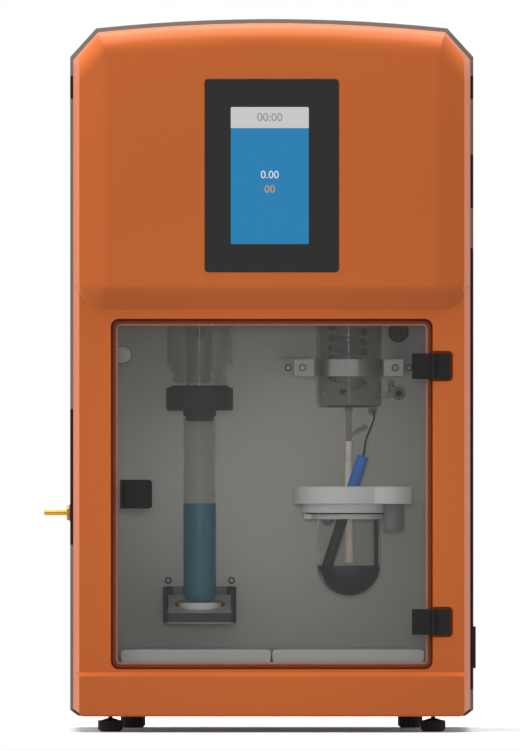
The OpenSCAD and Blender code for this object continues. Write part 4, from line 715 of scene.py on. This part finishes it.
screw_skin = coated("screw_steel", SCREW_STEEL, roughness=0.35, grain=800, depth=0.0001,
                    mottle=0.05, gloss=0.4, metal=0.2)
rounded("strap_blocks", block_skin, edge=0.0006)
rounded("condenser_strap", strap_skin, edge=0.0003)
screws = rounded("strap_screws", screw_skin, edge=0.0)
pick(screws, "FACE", faces_front)
bpy.ops.mesh.inset(thickness=RIM_WIDTH, use_boundary=True, use_even_offset=True)
bpy.ops.object.mode_set(mode="OBJECT")
soften(screws)
# Painted shade: the heads' sides and an outer ring of each head's face take the dark rim colour.
paint_rim_shade(screws, flat=0.85)
for polygon in screws.data.polygons:
    if off_head(polygon):
        polygon.material_index = 1


# Delivery hose. Beige silicone: a narrow end on the glass outlet, a thicker run through the lid,
# and a flared tip over the receiver liquid.
HOSE_BEIGE = "fff0e2"
hose_skin = coated("hose_silicone", HOSE_BEIGE, roughness=0.5, grain=500, depth=0.0001, mottle=0.03)
rounded("delivery_hose", hose_skin, edge=0.0, sharp=ROUND_SMOOTH)


# Vessel head. A white moulded lid with a side lobe, a seat ring, a black gasket and a retaining ring
# that holds the vessel's rim. A grey post hangs under the lobe.
LID_WHITE = "dcdedc"
GASKET_BLACK = "1a1a1a"
POST_GREY = "787876"
white_skin = coated("white_moulding", LID_WHITE, roughness=0.4, grain=600, depth=0.0001, mottle=0.015)
gasket_rubber = coated("gasket_rubber", GASKET_BLACK, roughness=0.7, grain=900, depth=0.0002)
post_skin = coated("post_grey", POST_GREY, roughness=0.5, grain=600, depth=0.0002)
rounded("vessel_lid", white_skin, edge=0.0022, steps=4)
rounded("vessel_seat_ring", white_skin, edge=0.0008, steps=3)
rounded("vessel_retaining_ring", white_skin, edge=0.0006, steps=3)
rounded("vessel_gasket", gasket_rubber, edge=0.0003)
rounded("lid_post", post_skin, edge=0.0008, steps=3)


# Electrode. A black plastic shaft leans through the lid under a blue cap, and a thin black lead
# leaves the cap for a bushing in the wall. A black drain tube hangs beside it.
CAP_BLUE = "2f80d4"
SHAFT_BLACK = "1c1c1e"
LEAD_BLACK = "161616"
PROBE_TOP = (0.1021, -0.083, 0.3075)
PROBE_TILT = math.radians(18)
CAP_LENGTH = 0.0585
LEAD_R = 0.001
LEAD = (PROBE_TOP, (0.1034, -0.083, 0.3115), (0.104, -0.082, 0.316), (0.1045, -0.08, 0.322),
        (0.106, -0.076, 0.328), (0.1084, -0.072, 0.334), (0.111, -0.066, 0.34), (0.1134, -0.058, 0.346),
        (0.115, -0.048, 0.351), (0.1152, -0.038, 0.355), (0.1144, -0.028, 0.3574), (0.1136, -0.018, 0.358),
        (0.1133, -0.009, 0.358), (0.1133, 0.0, 0.358))
cap_skin = coated("cap_blue", CAP_BLUE, roughness=0.35, grain=500, depth=0.0001, mottle=0.03)
lead_skin = coated("lead_black", LEAD_BLACK, roughness=0.5, grain=900, depth=0.0001)
probe = rounded("electrode", cap_skin, edge=0.0003)
probe.data.materials.append(coated("shaft_black", SHAFT_BLACK, roughness=0.35, grain=500, depth=0.0001))
for polygon in probe.data.polygons:
    away = [c - t for c, t in zip(polygon.center, PROBE_TOP)]
    if away[0] * math.sin(PROBE_TILT) + away[2] * math.cos(PROBE_TILT) < -CAP_LENGTH:
        polygon.material_index = 1
lead = round_tube("electrode_lead_soft", "electrode_lead", LEAD, LEAD_R, lead_skin, smooth=True)
rounded("drain_tube", lead_skin, edge=0.0003)


# Drip trays. Two white moulded trays with soft rims lie side by side on the chamber's floor.
# They are loose and lift out for cleaning.
TRAY_WHITE = "c2c6c5"
tray_skin = coated("tray_white", TRAY_WHITE, roughness=0.45, grain=600, depth=0.0001, mottle=0.02)
for node in ("left_drip_tray", "right_drip_tray"):
    rounded(node, tray_skin, edge=0.0012, steps=3)


# Door. A smoked clear sheet, a black pull screwed to it, and two black butt hinges whose pins are dull
# steel.
# The sheet's rim faces carry a denser smoke: painted shade for the dark gap round the door, which also holds
# light out of the gap.
SMOKE = "424240"
SMOKE_ROUGHNESS = 0.06
SMOKE_DEPTH = 0.2
EDGE_DEPTH = 0.7
HINGE_BLACK = "1b1b1b"
PIN_STEEL = "3c3c3c"
smoked = bpy.data.materials.new("smoked_sheet")
smoked.use_nodes = True
sheet = smoked.node_tree.nodes["Principled BSDF"]
sheet.inputs["Base Color"].default_value = srgb(SMOKE)
sheet.inputs["Roughness"].default_value = SMOKE_ROUGHNESS
sheet.inputs["Alpha"].default_value = SMOKE_DEPTH
door = rounded("door_panel", smoked, edge=0.0008, steps=3)
door_rim_shade = smoked.copy()
door_rim_shade.name = "door_rim_painted_shade"
door_rim_shade.node_tree.nodes["Principled BSDF"].inputs["Alpha"].default_value = EDGE_DEPTH
door.data.materials.append(door_rim_shade)
# Painted shade: the rim faces take the denser smoke.
for polygon in door.data.polygons:
    if abs(polygon.normal.y) < 0.7:
        polygon.material_index = 1
hinge_skin = coated("hinge_black", HINGE_BLACK, roughness=0.45, grain=900, depth=0.0002, gloss=0.14)
pin_skin = coated("pin_steel", PIN_STEEL, roughness=0.4, grain=800, depth=0.0001,
                  mottle=0.05, gloss=0.3, metal=0.3)
rounded("door_pull", fitting_skin, edge=0.0008, steps=3)
rounded("hinge_cabinet_leaves", hinge_skin, edge=0.0004)
rounded("hinge_door_leaves", hinge_skin, edge=0.0004)
rounded("hinge_pins", pin_skin, edge=0.0002)


# Inside. A bright steel steam generator and a boxed power supply stand on the base pan, and pumps, a valve
# block and a board are fixed to the liner's back. They are seen only through the vents.
MODULE_GREY = "5a6660"
module_skin = coated("module_grey", MODULE_GREY, roughness=0.6, grain=600, depth=0.0002)
rounded("steam_generator", bright_steel, edge=0.0004)
rounded("inner_modules", module_skin, edge=0.0004)
